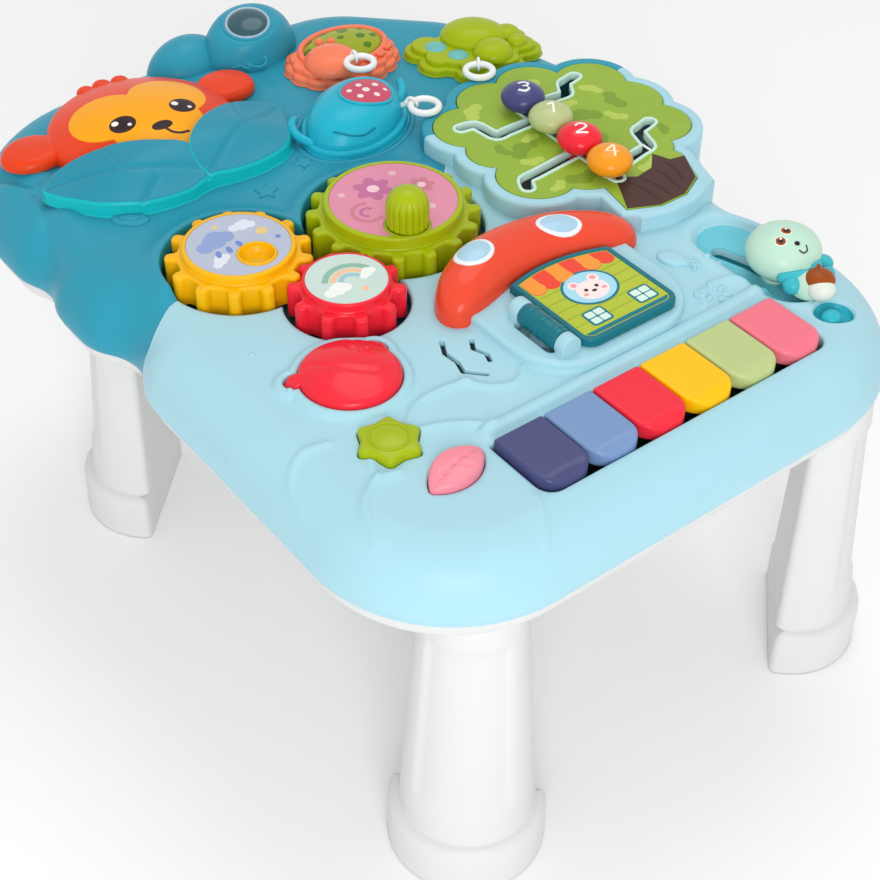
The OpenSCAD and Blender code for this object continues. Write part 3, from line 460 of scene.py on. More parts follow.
def form(outline, z0, top, r=1.0, steps=5, foot=0.0, step=0.0, bottom=False, holes=(), lip=0.6, extra=()):
    """Prism with a rounded top edge. top is a height or a function of points.
    holes are [outline, depth] pairs cut from the top."""
    p, high = ccw(outline), level(top)

    def ring(base, d, drop=0.0, z=None):
        q = offset(base, d)
        return at_height(q, high(q) - drop if z is None else z)

    rings = []
    if foot:
        for a in QUARTER * np.arange(steps) / steps:
            rings.append(ring(p, -foot * (1 - math.sin(a)), z=z0 + foot * (1 - math.cos(a))))
        z0 += foot
    rings.append(ring(p, 0, z=z0))
    for a in QUARTER * np.arange(steps + 1) / steps:
        rings.append(ring(p, r * (1 - math.cos(a)), r * (1 - math.sin(a))))
    v, f = rings_mesh(rings)
    rim, gone = rings[-1][:, :2], []
    for hole, deep in holes:
        hole = ccw(hole)
        wall = [ring(hole, 0, deep)]
        for a in QUARTER / 3 * np.arange(4):
            wall.append(ring(hole, -lip * (1 - math.cos(a)), lip * (1 - math.sin(a))))
        hv, hf = rings_mesh(wall)
        f += [[len(v) + i for i in x[::-1]] for x in hf]
        v += hv
        gone.append(wall[-1][:, :2])
    more = ([grid(rim, step, step * 0.55)] if step else []) + [arr(e) for e in extra]
    q, t = mesh_plan([(loop, True) for loop in [rim] + gone], within(rim, but=gone),
                     np.concatenate(more) if more else [])
    f += [[len(v) + i for i in x] for x in t]
    v += [tuple(x) for x in at_height(q, high(q))]
    if bottom:
        close_below(v, f, p, z0)
    return v, f


def film(outline, top, drop, **how):
    """Thin form on a curved skin; its wall ends drop under its top edge."""
    v, f = form(outline, FAR_DOWN, top, **how)
    n = len(arr(outline))
    v[:n] = [(a[0], a[1], b[2] - drop) for a, b in zip(v[:n], v[n:2 * n])]
    return v, f


def lathe(profile, at=(0, 0), n=96):
    """Profile [r, z] revolved about the vertical through at."""
    return rings_mesh([at_height(circle(*at, max(r, 1e-4), n), z) for r, z in profile])


def arc_profile(r0, z0, r1, z1, n=8, bulge=True):
    """Quarter of an ellipse between two profile points."""
    t = np.linspace(0, QUARTER, n + 1)
    if bulge:
        return [(r1 + (r0 - r1) * math.cos(a), z0 + (z1 - z0) * math.sin(a)) for a in t]
    return [(r0 + (r1 - r0) * math.sin(a), z1 + (z0 - z1) * math.cos(a)) for a in t]


def tube(path, radius, closed=False, n=12, flat=1.0):
    """Round bar along a 3-D path, with domed ends."""
    p = np.asarray(path, float)
    rad = np.broadcast_to(np.asarray(radius, float), len(p))
    if not closed:
        a, b = unit(p[0] - p[1]), unit(p[-1] - p[-2])
        heads = [(math.cos(t), math.sin(t)) for t in np.linspace(0.08, QUARTER, 5)[:-1]]
        start = [p[0] + a * rad[0] * c for c, s in heads]
        end = [p[-1] + b * rad[-1] * c for c, s in heads[::-1]]
        rad = np.concatenate([[rad[0] * s for c, s in heads], rad, [rad[-1] * s for c, s in heads[::-1]]])
        p = np.concatenate([start, p, end])
    m, rings, side = len(p), [], None
    for i in range(m):
        t = unit(p[(i + 1) % m] - p[i - 1] if closed else p[min(i + 1, m - 1)] - p[max(i - 1, 0)])
        if side is None:
            side = np.cross(t, [0, 0, 1.0])
            if np.linalg.norm(side) < 0.1:
                side = np.cross(t, [1.0, 0, 0])
        side = unit(side - t * float(side @ t))
        up = np.cross(side, t)
        rings.append([p[i] + rad[i] * (math.cos(b) * side + flat * math.sin(b) * up) for b in turns(n)])
    v, f = rings_mesh(rings + rings[:1] if closed else rings)
    if not closed:
        f += [list(range(n))[::-1], [len(v) - n + i for i in range(n)]]
    return v, f


def rod(a, b, radii, n=40):
    """Turned bar from a to b; radii are [distance, radius] pairs."""
    a, b = np.array(a, float), np.array(b, float)
    u = unit(b - a)
    w = unit(np.cross(u, [0, 0, 1.0]))
    h = np.cross(w, u)
    return rings_mesh([[a + u * d + r * (math.cos(x) * w + math.sin(x) * h) for x in turns(n)]
                       for d, r in radii])


def ball(x, y, z, r, squash=1.0, n=40, m=14, low=-0.2):
    """Upper part of a ball standing at z."""
    profile = [(r * math.cos(a), z + squash * r * math.sin(a)) for a in np.linspace(low, QUARTER, m)]
    return lathe(profile, (x, y), n)


def egg(x, y, z, radii, angles, n, turn=0.0):
    """Upper part of an ellipsoid."""
    rings = []
    for a in angles:
        rx, ry = (max(r * math.cos(a), 0.01) for r in radii[:2])
        rings.append(at_height(circle(x, y, rx, n, ry, turn), z + radii[2] * math.sin(a)))
    return rings_mesh(rings)


def cap_of(x, y, r, z0, top, n=64, power=2.4):
    """Full dome of radius r from z0 to top."""
    t = np.sin(np.linspace(0.0, QUARTER, 18))
    prof = [(r, z0)] + [(r * k, z0 + (top - z0) * max(1 - k ** power, 0) ** 0.5) for k in t[::-1]]
    return lathe(prof, (x, y), n)


# ---------- sizes and places shared with the CAD part ----------

DECK = [(-183, -235, 78), (163, -235, 82), (157, -112, 60), (145, -74, 40), (183, -30, 45), (183, 66, 60),
        (161, 168, 70), (92, 235, 70), (-183, 235, 95), (-183, 118, 34), (-175, 97, 30), (-183, 76, 34),
        (-183, 44, 34), (-166, 18, 30), (-181, -10, 40)]
SEAM = arr([(-203, 4), (-168, 4), (-150, 13), (-104, 20), (-76, -12), (-60, -14), (-18, 3), (28, 20),
            (48, 41),
            (203, 39)])
RIM, RIM_DROP, DECK_STEP, SEAM_GAP, FAR = 28.0, 30, 3.5, 0.15, (203, 255)
FISH, STAR, LEAF = (-111, -88), (-123.5, -136), (-110.5, -169)
LEAF_TURN, BUTTON_FOOT, STEM_FOOT = 14, -7, -7.2
RED, GREEN, YELLOW = (-76.5, -37), (-17.864, 2.999), (-103.433, 19.720)
TREE = (107.0, 14.0)
LOBES = [(0, 0, 50), (-44.5, -32.5, 22), (-46, -0.5, 17), (-42.5, 27.5, 21), (-15, 41, 21), (15, 42, 21),
         (45, 25, 21), (48, -3, 21), (45, -31, 20), (20, -43, 20), (-19, -43, 20)]
HEAD, HEAD_R = np.array([-79.5, 156.5]), 54
WHALE, WHALE_TURN = (22, 94), 26


def keys(*points):
    """Points measured from the first key's front corner."""
    return [(x - 87.5, y - 201.5) for x, y in points]


def trunk(grow):
    return arr([(80 - grow, -72 - grow), (97, -80 - grow), (115, -80 - grow), (131 + grow, -72 - grow),
                (141 + grow, -50), (136 + grow, -25), (90 - grow, -25)])


def crown(grow):
    return union(discs(*TREE, LOBES, 72, grow) + [trunk(grow)])


def fish_plan(grow):
    x, y = FISH
    return union([circle(x, y, 25 + grow, 96), circle(x - 24, y + 12, 5 + grow, 24),
                  circle(x + 21, y + 9, 6 + grow, 32)])


def star_plan(grow):
    points = []
    for i in range(12):
        r, soft_r = (17.0 + grow, 2.6) if i % 2 == 0 else ((17.0 + grow) * 0.76, 1.6)
        a = math.radians(30 * i - 4)
        points.append((r * math.cos(a) + STAR[0], r * math.sin(a) + STAR[1], soft_r))
    return rounded(points, 4)


def leaf_plan(grow):
    half, r = 18.5 + grow, 22.0 + grow
    off = math.sqrt(22.0 ** 2 - 18.5 ** 2)
    top = [(x, math.sqrt(max(r * r - x * x, 0)) - off) for x in np.linspace(half - 0.6, -half + 0.6, 28)]
    return move(ccw(top + [(-x, -y) for x, y in top]), *LEAF, LEAF_TURN)


# ---------- deck ----------

def soft(d, w):
    """1 well inside, 0 outside, smooth over w around d = 0."""
    t = np.clip(0.5 - d / w, 0, 1)
    return t * t * (3 - 2 * t)


def sink(d, reach, depth):
    """Quarter-round fall from 0 at reach to depth at d = 0."""
    t = 1 - np.clip(d, 0, reach) / reach
    return -depth * (1 - np.sqrt(np.maximum(1 - t * t, 0)))


wells = union([circle(*RED, 32.27, 96), circle(*GREEN, 48.65, 120), circle(*YELLOW, 40.46, 108),
               arr([RED, GREEN, YELLOW])])
bed = rounded([(-88.3, -206.3, 8.6), (93.3, -206.3, 8.6), (93.3, -164.7, 1.5), (-88.3, -164.7, 1.5)], 6)
fish_hole = fish_plan(0.4)
openings = [(wells, 2.0), (bed, 1.5), (fish_hole, 1.2), (star_plan(0.5), 1.0), (leaf_plan(0.4), 1.2),
            (thick([(115, -148), (112.5, -132), (107.5, -116)], 4.6), 0.8),
            (box(-87.9, 141.1, -71.1, 161.9), 0.6)]
for slot in ([(-59, -91.8), (-63.3, -99.9), (-62.5, -108.5), (-64.8, -116.1), (-57, -124.2)],
             [(-46.5, -99.5), (-49.9, -105.1), (-47.2, -112), (-49.1, -116.9)]):
    openings.append((thick(slot, 1.3, 6), 0.4))
recess = thick([(115, -158), (116, -114)], 18.5)
cup = circle(113, -190.5, 10.5, 40, 8.6, -20)
bar = arr([(-84, -156.6), (98, -155.6)])

# [points, height, width] of the flowing lines on the deck
RIDGES = [
    (keys((-76, 20), (-70, 38), (-56, 49), (-44, 47)), 1.5, 2.4),
    (keys((-54, 50), (-48, 62), (-26, 65), (-12, 62), (2, 54), (10, 45)), 1.5, 2.4),
    (keys((-20, 72), (-8, 80), (8, 81), (20, 78)), 1.4, 2.2),
    (keys((18, 79), (26, 69), (37, 64), (47, 70), (54, 79)), 1.4, 2.2),
    (keys((54, 79), (62, 71), (74, 66)), 1.2, 2.2),
    (keys((-88, 62), (-84, 76), (-72, 84), (-58, 82)), 1.2, 2.2),
    (keys((150, 52), (160, 62), (174, 63), (184, 54), (188, 44)), 1.4, 2.4),
    (keys((-18, -24), (-10, -12), (-5, -2)), 0.9, 2.2),
    ([(-162.4, 170.9), (-155.7, 154.8), (-154, 140), (-157, 128), (-164, 114), (-174, 96)], -2.4, 4.5),
    ([(-150, 168), (-144, 152), (-143.5, 138), (-147, 122), (-154, 106), (-163, 88)], 1.2, 5.0)]
ridge_lines = [(smooth_path(p, 9), h, w) for p, h, w in RIDGES]


def deck_side(sign, gap=SEAM_GAP):
    """Everything on one side of the seam: -1 is the front."""
    corners = [(FAR[0], sign * FAR[1]), (-FAR[0], sign * FAR[1])]
    return np.concatenate([SEAM + np.array([0, sign * gap]), corners])


outline = dense(rounded(DECK, 16), DECK_STEP)
head_bed = union([circle(*HEAD, HEAD_R, 96), circle(-140.5, 167.5, 24, 48), circle(-18.5, 167.5, 24, 48)])
front_side, front, behind = deck_side(-1, 0), deck_side(-1), deck_side(1)


def deck_height(q):
    z = sink(distance(q, outline), RIM, RIM_DROP)
    seam = np.clip(distance(q, SEAM, False) / 8, 0, 1) * ~inside(q, front_side)
    z += 6.5 * np.exp(-(distance(q, wells) / 10.0) ** 2) * seam * seam * (3 - 2 * seam)
    for line, h, w in ridge_lines:
        z += h * bell(q, line, w)
    z += 2.4 * soft(distance(q, bar, False) - 3.2, 3.0)
    d = signed(q, recess)
    z += 1.3 * np.exp(-((d - 5) / 3.0) ** 2) - 4.6 * soft(d, 5.0)
    z -= 4.0 * soft(signed(q, cup), 2.4)
    z += 2.6 * soft(signed(q, fish_hole) - 4.6, 3.4)
    z += 1.2 * np.exp(-(signed(q, head_bed) / 3.0) ** 2)
    for hole, lip in openings:
        z += sink(distance(q, hole), lip, lip)
    return z


RIM_ANGLES = (5, 11, 18, 26, 35, 44, 54, 64, 74, 82)
RIDGE_ROWS = (-1.9, -1.3, -0.8, -0.4, 0, 0.4, 0.8, 1.3, 1.9)
BAR_ROWS = (-4.7, -3.9, -3.2, -2.5, -1.7, 1.7, 2.5, 3.2, 3.9, 4.7)
loops = [(outline, True)]
for a in RIM_ANGLES:
    loops.append((dense(rounded(DECK, 16, RIM * (1 - math.cos(math.radians(a)))), DECK_STEP), True))
for hole, lip in openings:
    loops += [(hole, True)] + [(offset(hole, -lip * t), True) for t in (0.15, 0.45, 1.0)]
for shape, rows in ((fish_hole, (-3.0, -4.0, -4.8, -5.6, -6.6)), (recess, (2.5, 1.2, 0, -1.2, -2.5, -4)),
                    (cup, (1.2, 0.6, 0, -0.6, -1.2))):
    loops += [(offset(shape, t), True) for t in rows]
for line, h, w in ridge_lines:
    loops += [(line + beside(line) * t * w, False) for t in RIDGE_ROWS]
for line, rows in ((bar, BAR_ROWS), (SEAM, (-SEAM_GAP, SEAM_GAP))):
    loops += [(dense(line + np.array([0, t]), 3, False), False) for t in rows]
under_crown = crown(5.0)
loops.append((under_crown, True))
on_deck = within(outline, but=[under_crown] + [hole for hole, _ in openings])
plan, tris = mesh_plan(loops, lambda c: on_deck(c) & (inside(c, front) | inside(c, behind)),
                       grid(outline, 3.2, 1.0))
heights = deck_height(plan)
edge_in = offset(outline, 1.5)
mid = plan[tris].mean(1)
# The squirrel's recess and the finger cup get darker cyans than the deck: painted shade in these hollows.
hollow_painted_shade = np.where(inside(mid, cup), 2, np.where(inside(mid, offset(recess, 1.0)), 1, 0))


def deck_object(name, pick, mats, node):
    """One side of the deck, with a short wall under each of its edges."""
    p, f = used_only(np.column_stack([plan, heights]), tris[pick])
    v, f = [tuple(x) for x in p], f.tolist()
    at_rim = distance(p[:, :2], outline) < 0.01
    low, walls = {}, []
    for a, b in border(f):
        rim = at_rim[a] and at_rim[b]
        for i in (a, b):
            if (i, rim) not in low:
                x, y, z = v[i]
                if rim:
                    k = int(np.argmin(((outline - [x, y]) ** 2).sum(1)))
                    x, y = np.array([x, y]) + edge_in[k] - outline[k]
                low[(i, rim)] = len(v)
                v.append((x, y, -34.0 if rim else z - 7))
        walls.append([b, a, low[(a, rim)], low[(b, rim)]])
    Part().add((v, f + walls), hollow_painted_shade[pick].tolist() + [0] * len(walls)).done(name, mats, "table", node, 42)


sky = plastic("#a8d5e1", 0.34, 0.03)
teal = plastic("#2f97b0", 0.34, 0.05)
white = plastic("#dcdddd", 0.4, 0.015)
# Second and third finishes are darker cyans: painted shade in the recess and in the finger cup.
deck_object("deck_front_shell", inside(mid, front),
            [sky, *plastics(0.35, "#6cc6d6"), *plastics(0.3, "#2ba9ba")],
            "deck_front")
deck_object("deck_back_shell", inside(mid, behind), [teal], "deck_back")

# ---------- base tray and legs ----------

TRAY = [(14, -50.0), (8, -46), (5.6, -43.5), (4.5, -41), (3.5, -37), (3, -34.3), (4.2, -33.9)]
LEG_W, LEG_D, SHOE_W, SHOE_D, PANEL = 70, 43, 82, 49, 1.6


def closed_rings(rings, z):
    v, f = rings_mesh(rings)
    close_below(v, f, rings[0][:, :2], z)
    return Part().add((v, f))


tray_edge = dense(rounded(DECK, 16, 0), 6)
closed_rings([at_height(offset(tray_edge, d), z) for d, z in TRAY], TRAY[0][1]).done(
    "tray_shell", white, "table", "base_tray")


def d_outline(w, depth, soft_r=4.0, n=14):
    """D-shaped plan of a leg: a flat face at x = 0 and a round one away from it."""
    t = np.linspace(-QUARTER, QUARTER, 4 * n)
    arc_pts = np.stack([max(depth - w / 2, 0.01) + w / 2 * np.cos(t), w / 2 * np.sin(t)], 1)
    low = [(soft_r * (1 - math.sin(u)), arc_pts[0][1] + soft_r * (1 - math.cos(u)))
           for u in np.linspace(0, QUARTER, 6)]
    face = [(0, y) for y in np.linspace(-w / 2 + soft_r, w / 2 - soft_r, 10)[1:-1]]
    p = np.concatenate([arc_pts, [(x, -y) for x, y in low[::-1]], face[::-1], low[::-1]])
    return ccw(p[np.argsort(np.arctan2(p[:, 1], p[:, 0] - depth * 0.4))])


def leg(name, x, y, angle):
    rings = []

    def ring(w, depth, z, d=0.0, panel=0.0):
        p = offset(d_outline(w, depth), d)
        if panel:
            centre = np.array([max(depth - w / 2, 0), 0])
            a = np.degrees(np.arctan2(p[:, 1], p[:, 0] - centre[0]))
            inward = centre - p
            inward /= np.linalg.norm(inward, axis=1, keepdims=True)
            p = p + inward * (panel * soft(np.abs(a) - 46, 10))[:, None]
        rings.append(at_height(move(p, x, y, angle), z - TOP))

    for a in math.pi / 8 * np.arange(5):
        ring(SHOE_W, SHOE_D, 2.5 * (1 - math.sin(a)), 2.5 * (1 - math.cos(QUARTER - a)))
    ring(SHOE_W, SHOE_D, 14)
    for a in math.pi / 12 * np.arange(7):
        ring(SHOE_W, SHOE_D, 23.5 + 6.5 * math.sin(a), 5.2 * (1 - math.cos(a)))
    ring(LEG_W + 0.4, LEG_D + 0.2, 30.6)
    for z in [32, *np.linspace(36, 174, 58), 179]:
        k = 1 - 0.28 * (z - 30) / 149
        ends = soft(np.array(52 - z), 5) * soft(np.array(z - 160), 5)
        ring(LEG_W * k, LEG_D * k, z, panel=PANEL * float(ends))
    closed_rings(rings, -TOP).done(name + "_shell", white, "table", name, 40)


for name, x, y, angle in (("leg_front_left", -113, -188, -135), ("leg_front_right", 113, -188, -45),
                          ("leg_rear_left", -113, 118, 135), ("leg_rear_right", 113, 118, 45)):
    leg(name, x, y, angle)

# ---------- keys and buttons ----------

KEY_COLOURS = ["#484b78", "#7896c2", "#f02c3e", "#fbc20a", "#bccb88", "#f07788"]
KEY_PITCH, KEY_W, KEY_LEN, KEY_X, KEY_Y = 30, 28.8, 40, -86.9, -205.5


def key_top(q):
    return 4.0 - 3.4 * np.clip(1 - (q[:, 1] - KEY_Y) / 6.5, 0, 1) ** 2.2


for i, tint in enumerate(KEY_COLOURS):
    x0, x1, back = KEY_X + KEY_PITCH * i, KEY_X + KEY_PITCH * i + KEY_W, KEY_Y + KEY_LEN
    plan_k = dense(rounded([(x0, back, 1.6), (x0, KEY_Y, 11), (x1, KEY_Y, 11), (x1, back, 1.6)], 8), 3)
    name = "key_%d" % (i + 1)
    part = Part().add(form(plan_k, -4.0, key_top, r=1.5, step=2.6, bottom=True))
    part.add(form(box(x0 + 6, KEY_Y + 34, x0 + 22.8, KEY_Y + 52, 1, 3), -10.5, -5.4, r=0.8, bottom=True))
    part.add(lathe([(0, -10.5), (2.6, -10.5), (3, -10.1), (3, -3.9)], (x0 + KEY_W / 2, KEY_Y + 18.5), 32))
    part.done(name + "_cap", plastic(tint, 0.2, 0.03, coat=0.3), name, name)

red = plastic("#f0283a", 0.2, 0.03, coat=0.3)
lime = plastic("#a5b70c", 0.24, 0.05, coat=0.25)
FISH_LINES = [
    ([(-131, -72.5), (-125, -75), (-118.4, -84.9), (-111, -93.5), (-101.8, -99.5), (-88, -101.5)], 1.3),
    ([(-103.4, -80), (-102.4, -73.3), (-97, -69.6), (-89.9, -71.4), (-86.1, -79)], 1.0),
    ([(-134, -82), (-129, -80), (-127.5, -76)], 0.9)]
fish_lines = [(smooth_path(p), w) for p, w in FISH_LINES]
vein = [(move([(-16, 0), (16, 0)], *LEAF, LEAF_TURN), 0.8)] + [
    (move([(x, 0), (x + 5, s * 6.5)], *LEAF, LEAF_TURN), 0.35) for x in (-9, -2, 5) for s in (-1, 1)]


def fish_top(q):
    z = -52 + np.sqrt(62.0 ** 2 - np.minimum(np.linalg.norm(q - FISH, axis=1), 60) ** 2)
    for line, w in fish_lines:
        z -= 0.6 * bell(q, line, w)
    return z


def star_top(q):
    return 3.4 + 2.2 * np.maximum(0, 1 - (np.linalg.norm(q - STAR, axis=1) / 13.0) ** 2) ** 1.5


def leaf_top(q):
    z = -33.6 + np.sqrt(40.0 ** 2 - np.minimum(np.linalg.norm(q - LEAF, axis=1), 39) ** 2)
    for line, deep in vein:
        z -= deep * bell(q, line, 0.9)
    return z


def button(name, shape, top, stem_r, at, mat, extra=(), **how):
    part = Part().add(form(shape, BUTTON_FOOT, top, bottom=True, **how))
    part.add(lathe([(0, STEM_FOOT), (stem_r - 1, STEM_FOOT), (stem_r, STEM_FOOT + 0.3), (stem_r, -3)], at,
                   40))
    for mesh in extra:
        part.add(mesh)
    part.done(name + "_cap", mat, name, name)


eye = (-97.4, -82.5)
button("fish_button", dense(fish_plan(0), 2.5), fish_top, 20, FISH, red,
       [ball(*eye, height_at(fish_top, *eye) - 0.2, 2.3, 0.7),
        tube(drape(circle(*eye, 4.2, 40), fish_top), 0.5, True, 10)], r=2.2, step=1.7)
button("star_button", dense(star_plan(0), 2), star_top, 10, STAR, lime,
       [tube(at_height(circle(*STAR, 9.2, 40), 4.35), 0.55, True)], r=2.0, step=1.8)
button("leaf_button", dense(leaf_plan(0), 2), leaf_top, 8, LEAF, plastic("#f58e9e", 0.24, 0.03, coat=0.25),
       r=1.8, step=1.2)

# ---------- gears ----------

MOD = 5.46
TIP, ROOT = 0.47 * MOD, 0.62 * MOD
TOOTH = [(-ROOT, 0.80), (-0.2, 0.64), (TIP * 0.75, 0.44), (TIP, 0.14)]
PHASE = 34.3


def gear_outline(n, phase, at):
    r, out = MOD * n / 2, []
    for i in range(n):
        a = math.radians(phase + i * 360 / n)
        u, w = np.array([math.cos(a), math.sin(a)]), np.array([-math.sin(a), math.cos(a)])
        out += [u * (r + x) - w * y * MOD for x, y in TOOTH]
        out += [u * (r + x) + w * y * MOD for x, y in TOOTH[::-1]]
    return smooth_path(np.array(out), 4, True) + np.array(at)


def phase_to(direction, n):
    """Phase at which n teeth mesh with the red gear, seen from it in that direction."""
    return direction + 180 - 360 / n * (0.5 - (direction - PHASE) / 36.0)


def gear_body(name, at, n, phase, r, label_r, top, mat, full=False, extra=()):
    hub = [(r + 0.6, 8.4), (r + 0.3, 9.3), (r, 9.6)]
    hub += arc_profile(r, top - 0.6, r - 1.1, top + 0.75, 6)
    hub += arc_profile(label_r + 0.15, top + 0.75, label_r + 0.1, top + 0.1, 2, False)
    hub += [(label_r - 1, top + 0.05)] + ([(0, top + 0.05)] if full else [])
    part = Part().add(form(gear_outline(n, phase, at), -8, 9, r=1.8, bottom=True)).add(lathe(hub, at, 120))
    for mesh in extra:
        part.add(mesh)
    part.done(name + "_wheel", mat, name, name)


yellow = plastic("#f4b80a", 0.22, 0.03, coat=0.3)
dimple = (YELLOW[0] + 3, YELLOW[1] - 12.5)
knob_at = (GREEN[0] - 8, GREEN[1] - 23)
bowl = [(10.6, 13.1)] + arc_profile(10.3, 13.3, 9.5, 14.3, 4) + [(9.0, 14.1)]
bowl += [(r, 15.2 - math.sqrt(81 - r * r)) for r in np.linspace(8.7, 0, 16)]
collar = [(12.6, 15.0)] + arc_profile(12.4, 15.2, 11.6, 16.0, 4) + [(11.4, 15.2), (11.4, 15.0)]
gear_body("red_gear", RED, 10, PHASE, 22.4, 20.8, 13, red, True)
gear_body("yellow_gear", YELLOW, 13, phase_to(115.4, 13), 29.3, 26.9, 13, yellow, False,
          [lathe(bowl, dimple, 60)])
gear_body("green_gear", GREEN, 16, PHASE + 180, 37, 34, 15, lime, True,
          [lathe([(4, 14), (4, 29)], knob_at, 32), lathe(collar, knob_at, 60)])

# [z, radius, depth of the flutes]
KNOB = [(15.9, 10.2, 0.2), (16.3, 10.7, 0.7)] + [(z, 10.9, 0.95) for z in np.linspace(17, 27.5, 7)]
KNOB += [(27.8 + 9.9 * math.sin(a), 10.9 * math.cos(a) ** 0.9 + 0.01, 0.95 * max(0, 1 - a / 0.9))
         for a in np.linspace(0.06, QUARTER - 0.01, 14)]
t = turns(216)
flutes = np.abs(np.cos(9 * t)) ** 0.6 - 0.6
knob_rings = []
for z, r, deep in KNOB:
    rr = r + deep * flutes
    plan_ring = np.column_stack([knob_at[0] + rr * np.cos(t), knob_at[1] + rr * np.sin(t)])
    knob_rings.append(at_height(plan_ring, z))
part = Part().add(rings_mesh(knob_rings)).add(lathe([(4.05, 15.9), (10.2, 15.9)], knob_at, 48))
part.done("gear_knob_cap", lime, "gear_knob", "gear_knob", 50)

for gear, at, r, top, tint, holes in (
        ("red_gear", RED, 20.8, 13, "#c9dcd4", []),
        ("yellow_gear", YELLOW, 26.9, 13, "#b7bfd2", [(circle(*dimple, 10.5, 48), 0.4)]),
        ("green_gear", GREEN, 34, 15, "#df8fa8", [(circle(*knob_at, 12.5, 48), 0.4)])):
    disc = form(circle(*at, r, 96), top, top + 0.5, r=0.2, steps=2, holes=holes, lip=0.2)
    Part().add(disc).done(gear + "_label_print", plastic(tint, 0.35, 0.03), gear, gear + "_label")


def printed(name, shapes, z, body, mats):
    """Thin plain shapes on a flat face: [outline, material index, layer].
    Each lies a little off the last, so that no two share a plane."""
    part = Part()
    for i, (shape, m, layer) in enumerate(shapes):
        part.add(form(shape, z - 0.05, z + 0.06 + 0.05 * layer + 0.003 * (i % 12), r=0.03, steps=1), m)
    part.done(name, mats, body)


def cloud(x, y, k=1.0, turn=0.0):
    puffs = ((0, 0, 5), (5.5, -0.5, 3.8), (-5.5, -0.8, 3.6), (2.5, 2.6, 3.6))
    return move(union([circle(a * k, b * k, r * k) for a, b, r in puffs]), x, y, turn)


def ring_arc(x, y, r, w, a0, a1):
    t = np.radians(np.linspace(a0, a1, 28))
    outer = [(x + (r + w) * math.cos(a), y + (r + w) * math.sin(a)) for a in t]
    return ccw(outer + [(x + r * math.cos(a), y + r * math.sin(a)) for a in t[::-1]])


def petal(x, y, length, w, turn):
    t = np.linspace(0, math.pi, 14)
    top = [(length * (1 - math.cos(a)) / 2, w / 2 * math.sin(a)) for a in t]
    return move(ccw(top + [(a, -b) for a, b in top[-2:0:-1]]), x, y, turn)


def motif(at, rows):
    """Rows of [maker, x, y, further values, material, layer], measured from a point."""
    return [(make(at[0] + x, at[1] + y, *rest), m, layer) for make, x, y, rest, m, layer in rows]


printed("red_label_motif", motif(RED, [
    (ring_arc, 1, -4, (12.2, 3.2, 18, 150), 0, 0), (ring_arc, 1, -4, (8.2, 3.0, 18, 150), 1, 0),
    (ring_arc, 1, -4, (4.6, 2.6, 18, 150), 2, 0), (cloud, -9, -5, (0.85,), 3, 1),
    (cloud, 11, -2, (0.6, 20), 3, 1),
    (circle, 3, -12, (2.0, 24), 1, 0)]), 13.5, "red_gear",
        plastics(0.35, "#8fb9a6", "#efc39c", "#9cc4cf", "#eef2ee"))
printed("yellow_label_motif", motif(YELLOW, [
    (cloud, -9, 9, (1.25, 10), 0, 0), (cloud, 10, 13, (0.8, -12), 1, 0), (cloud, -15, -7, (0.7, 30), 1, 0),
    (petal, -12, 1, (6, 3, 250), 2, 1), (petal, -6, 1.5, (6, 3, 262), 2, 1),
    (petal, 0.5, 3, (6, 3, 270), 2, 1),
    (circle, 16, 3, (3.2, 28), 3, 0), (circle, -2, 20, (1.6, 20), 3, 0), (circle, 20, -6, (1.5, 20), 2, 0)]),
    13.5, "yellow_gear", plastics(0.35, "#8fa4d0", "#dfe3ee", "#6f8fd0", "#e9c98a"))
printed("green_label_motif", motif(GREEN, [
    *[(petal, -3, 14, (11, 7, 60 * k + 12), 0, 0) for k in range(6)], (circle, -3, 14, (3.4, 28), 1, 1),
    *[(petal, 20, 2, (7.5, 4.8, 60 * k + 40), 2, 0) for k in range(6)], (circle, 20, 2, (2.4, 24), 1, 1),
    (ring_arc, -18, -2, (7, 2.4, 60, 300), 2, 0), (ring_arc, -18, -2, (2.6, 2.0, 20, 250), 0, 0),
    (circle, 14, 20, (2.2, 24), 3, 0), (circle, -20, 19, (2.0, 24), 3, 0),
    (circle, 12, -17, (2.6, 24), 3, 0)]),
    15.5, "green_gear", plastics(0.35, "#c46f9c", "#f6c9d2", "#cf7f8f", "#e8b7c4"))

# ---------- house ----------

ARCH = np.array([13.0, -168.0])
ARCH_R, CAP_W, CAP_H, CAP_HALF, CAP_LEAN, CAP_THIN = 87.0, 17.5, 23.0, 37.0, 2.5, 0.26
HINGE_X, HINGE_Z, HINGE_R = -20, 9.5, 6


def cap_z(q):
    """Height of the mushroom cap's skin."""
    d = q - ARCH
    t = np.clip((90 - np.degrees(np.arctan2(d[:, 1], d[:, 0]))) / CAP_HALF, -1, 1)
    s = np.sqrt(np.maximum(1 - np.abs(t) ** 4, 0.0004))
    off = np.linalg.norm(d, axis=1) - (ARCH_R + CAP_W) + CAP_LEAN * t * t
    c = np.clip(np.abs(off) / (CAP_W * s), 0, 1) ** 1.25
    return CAP_H * (1 - CAP_THIN * np.clip(t + 0.4, 0, 1)) * s ** 0.8 * np.maximum(1 - c * c, 0) ** 0.375


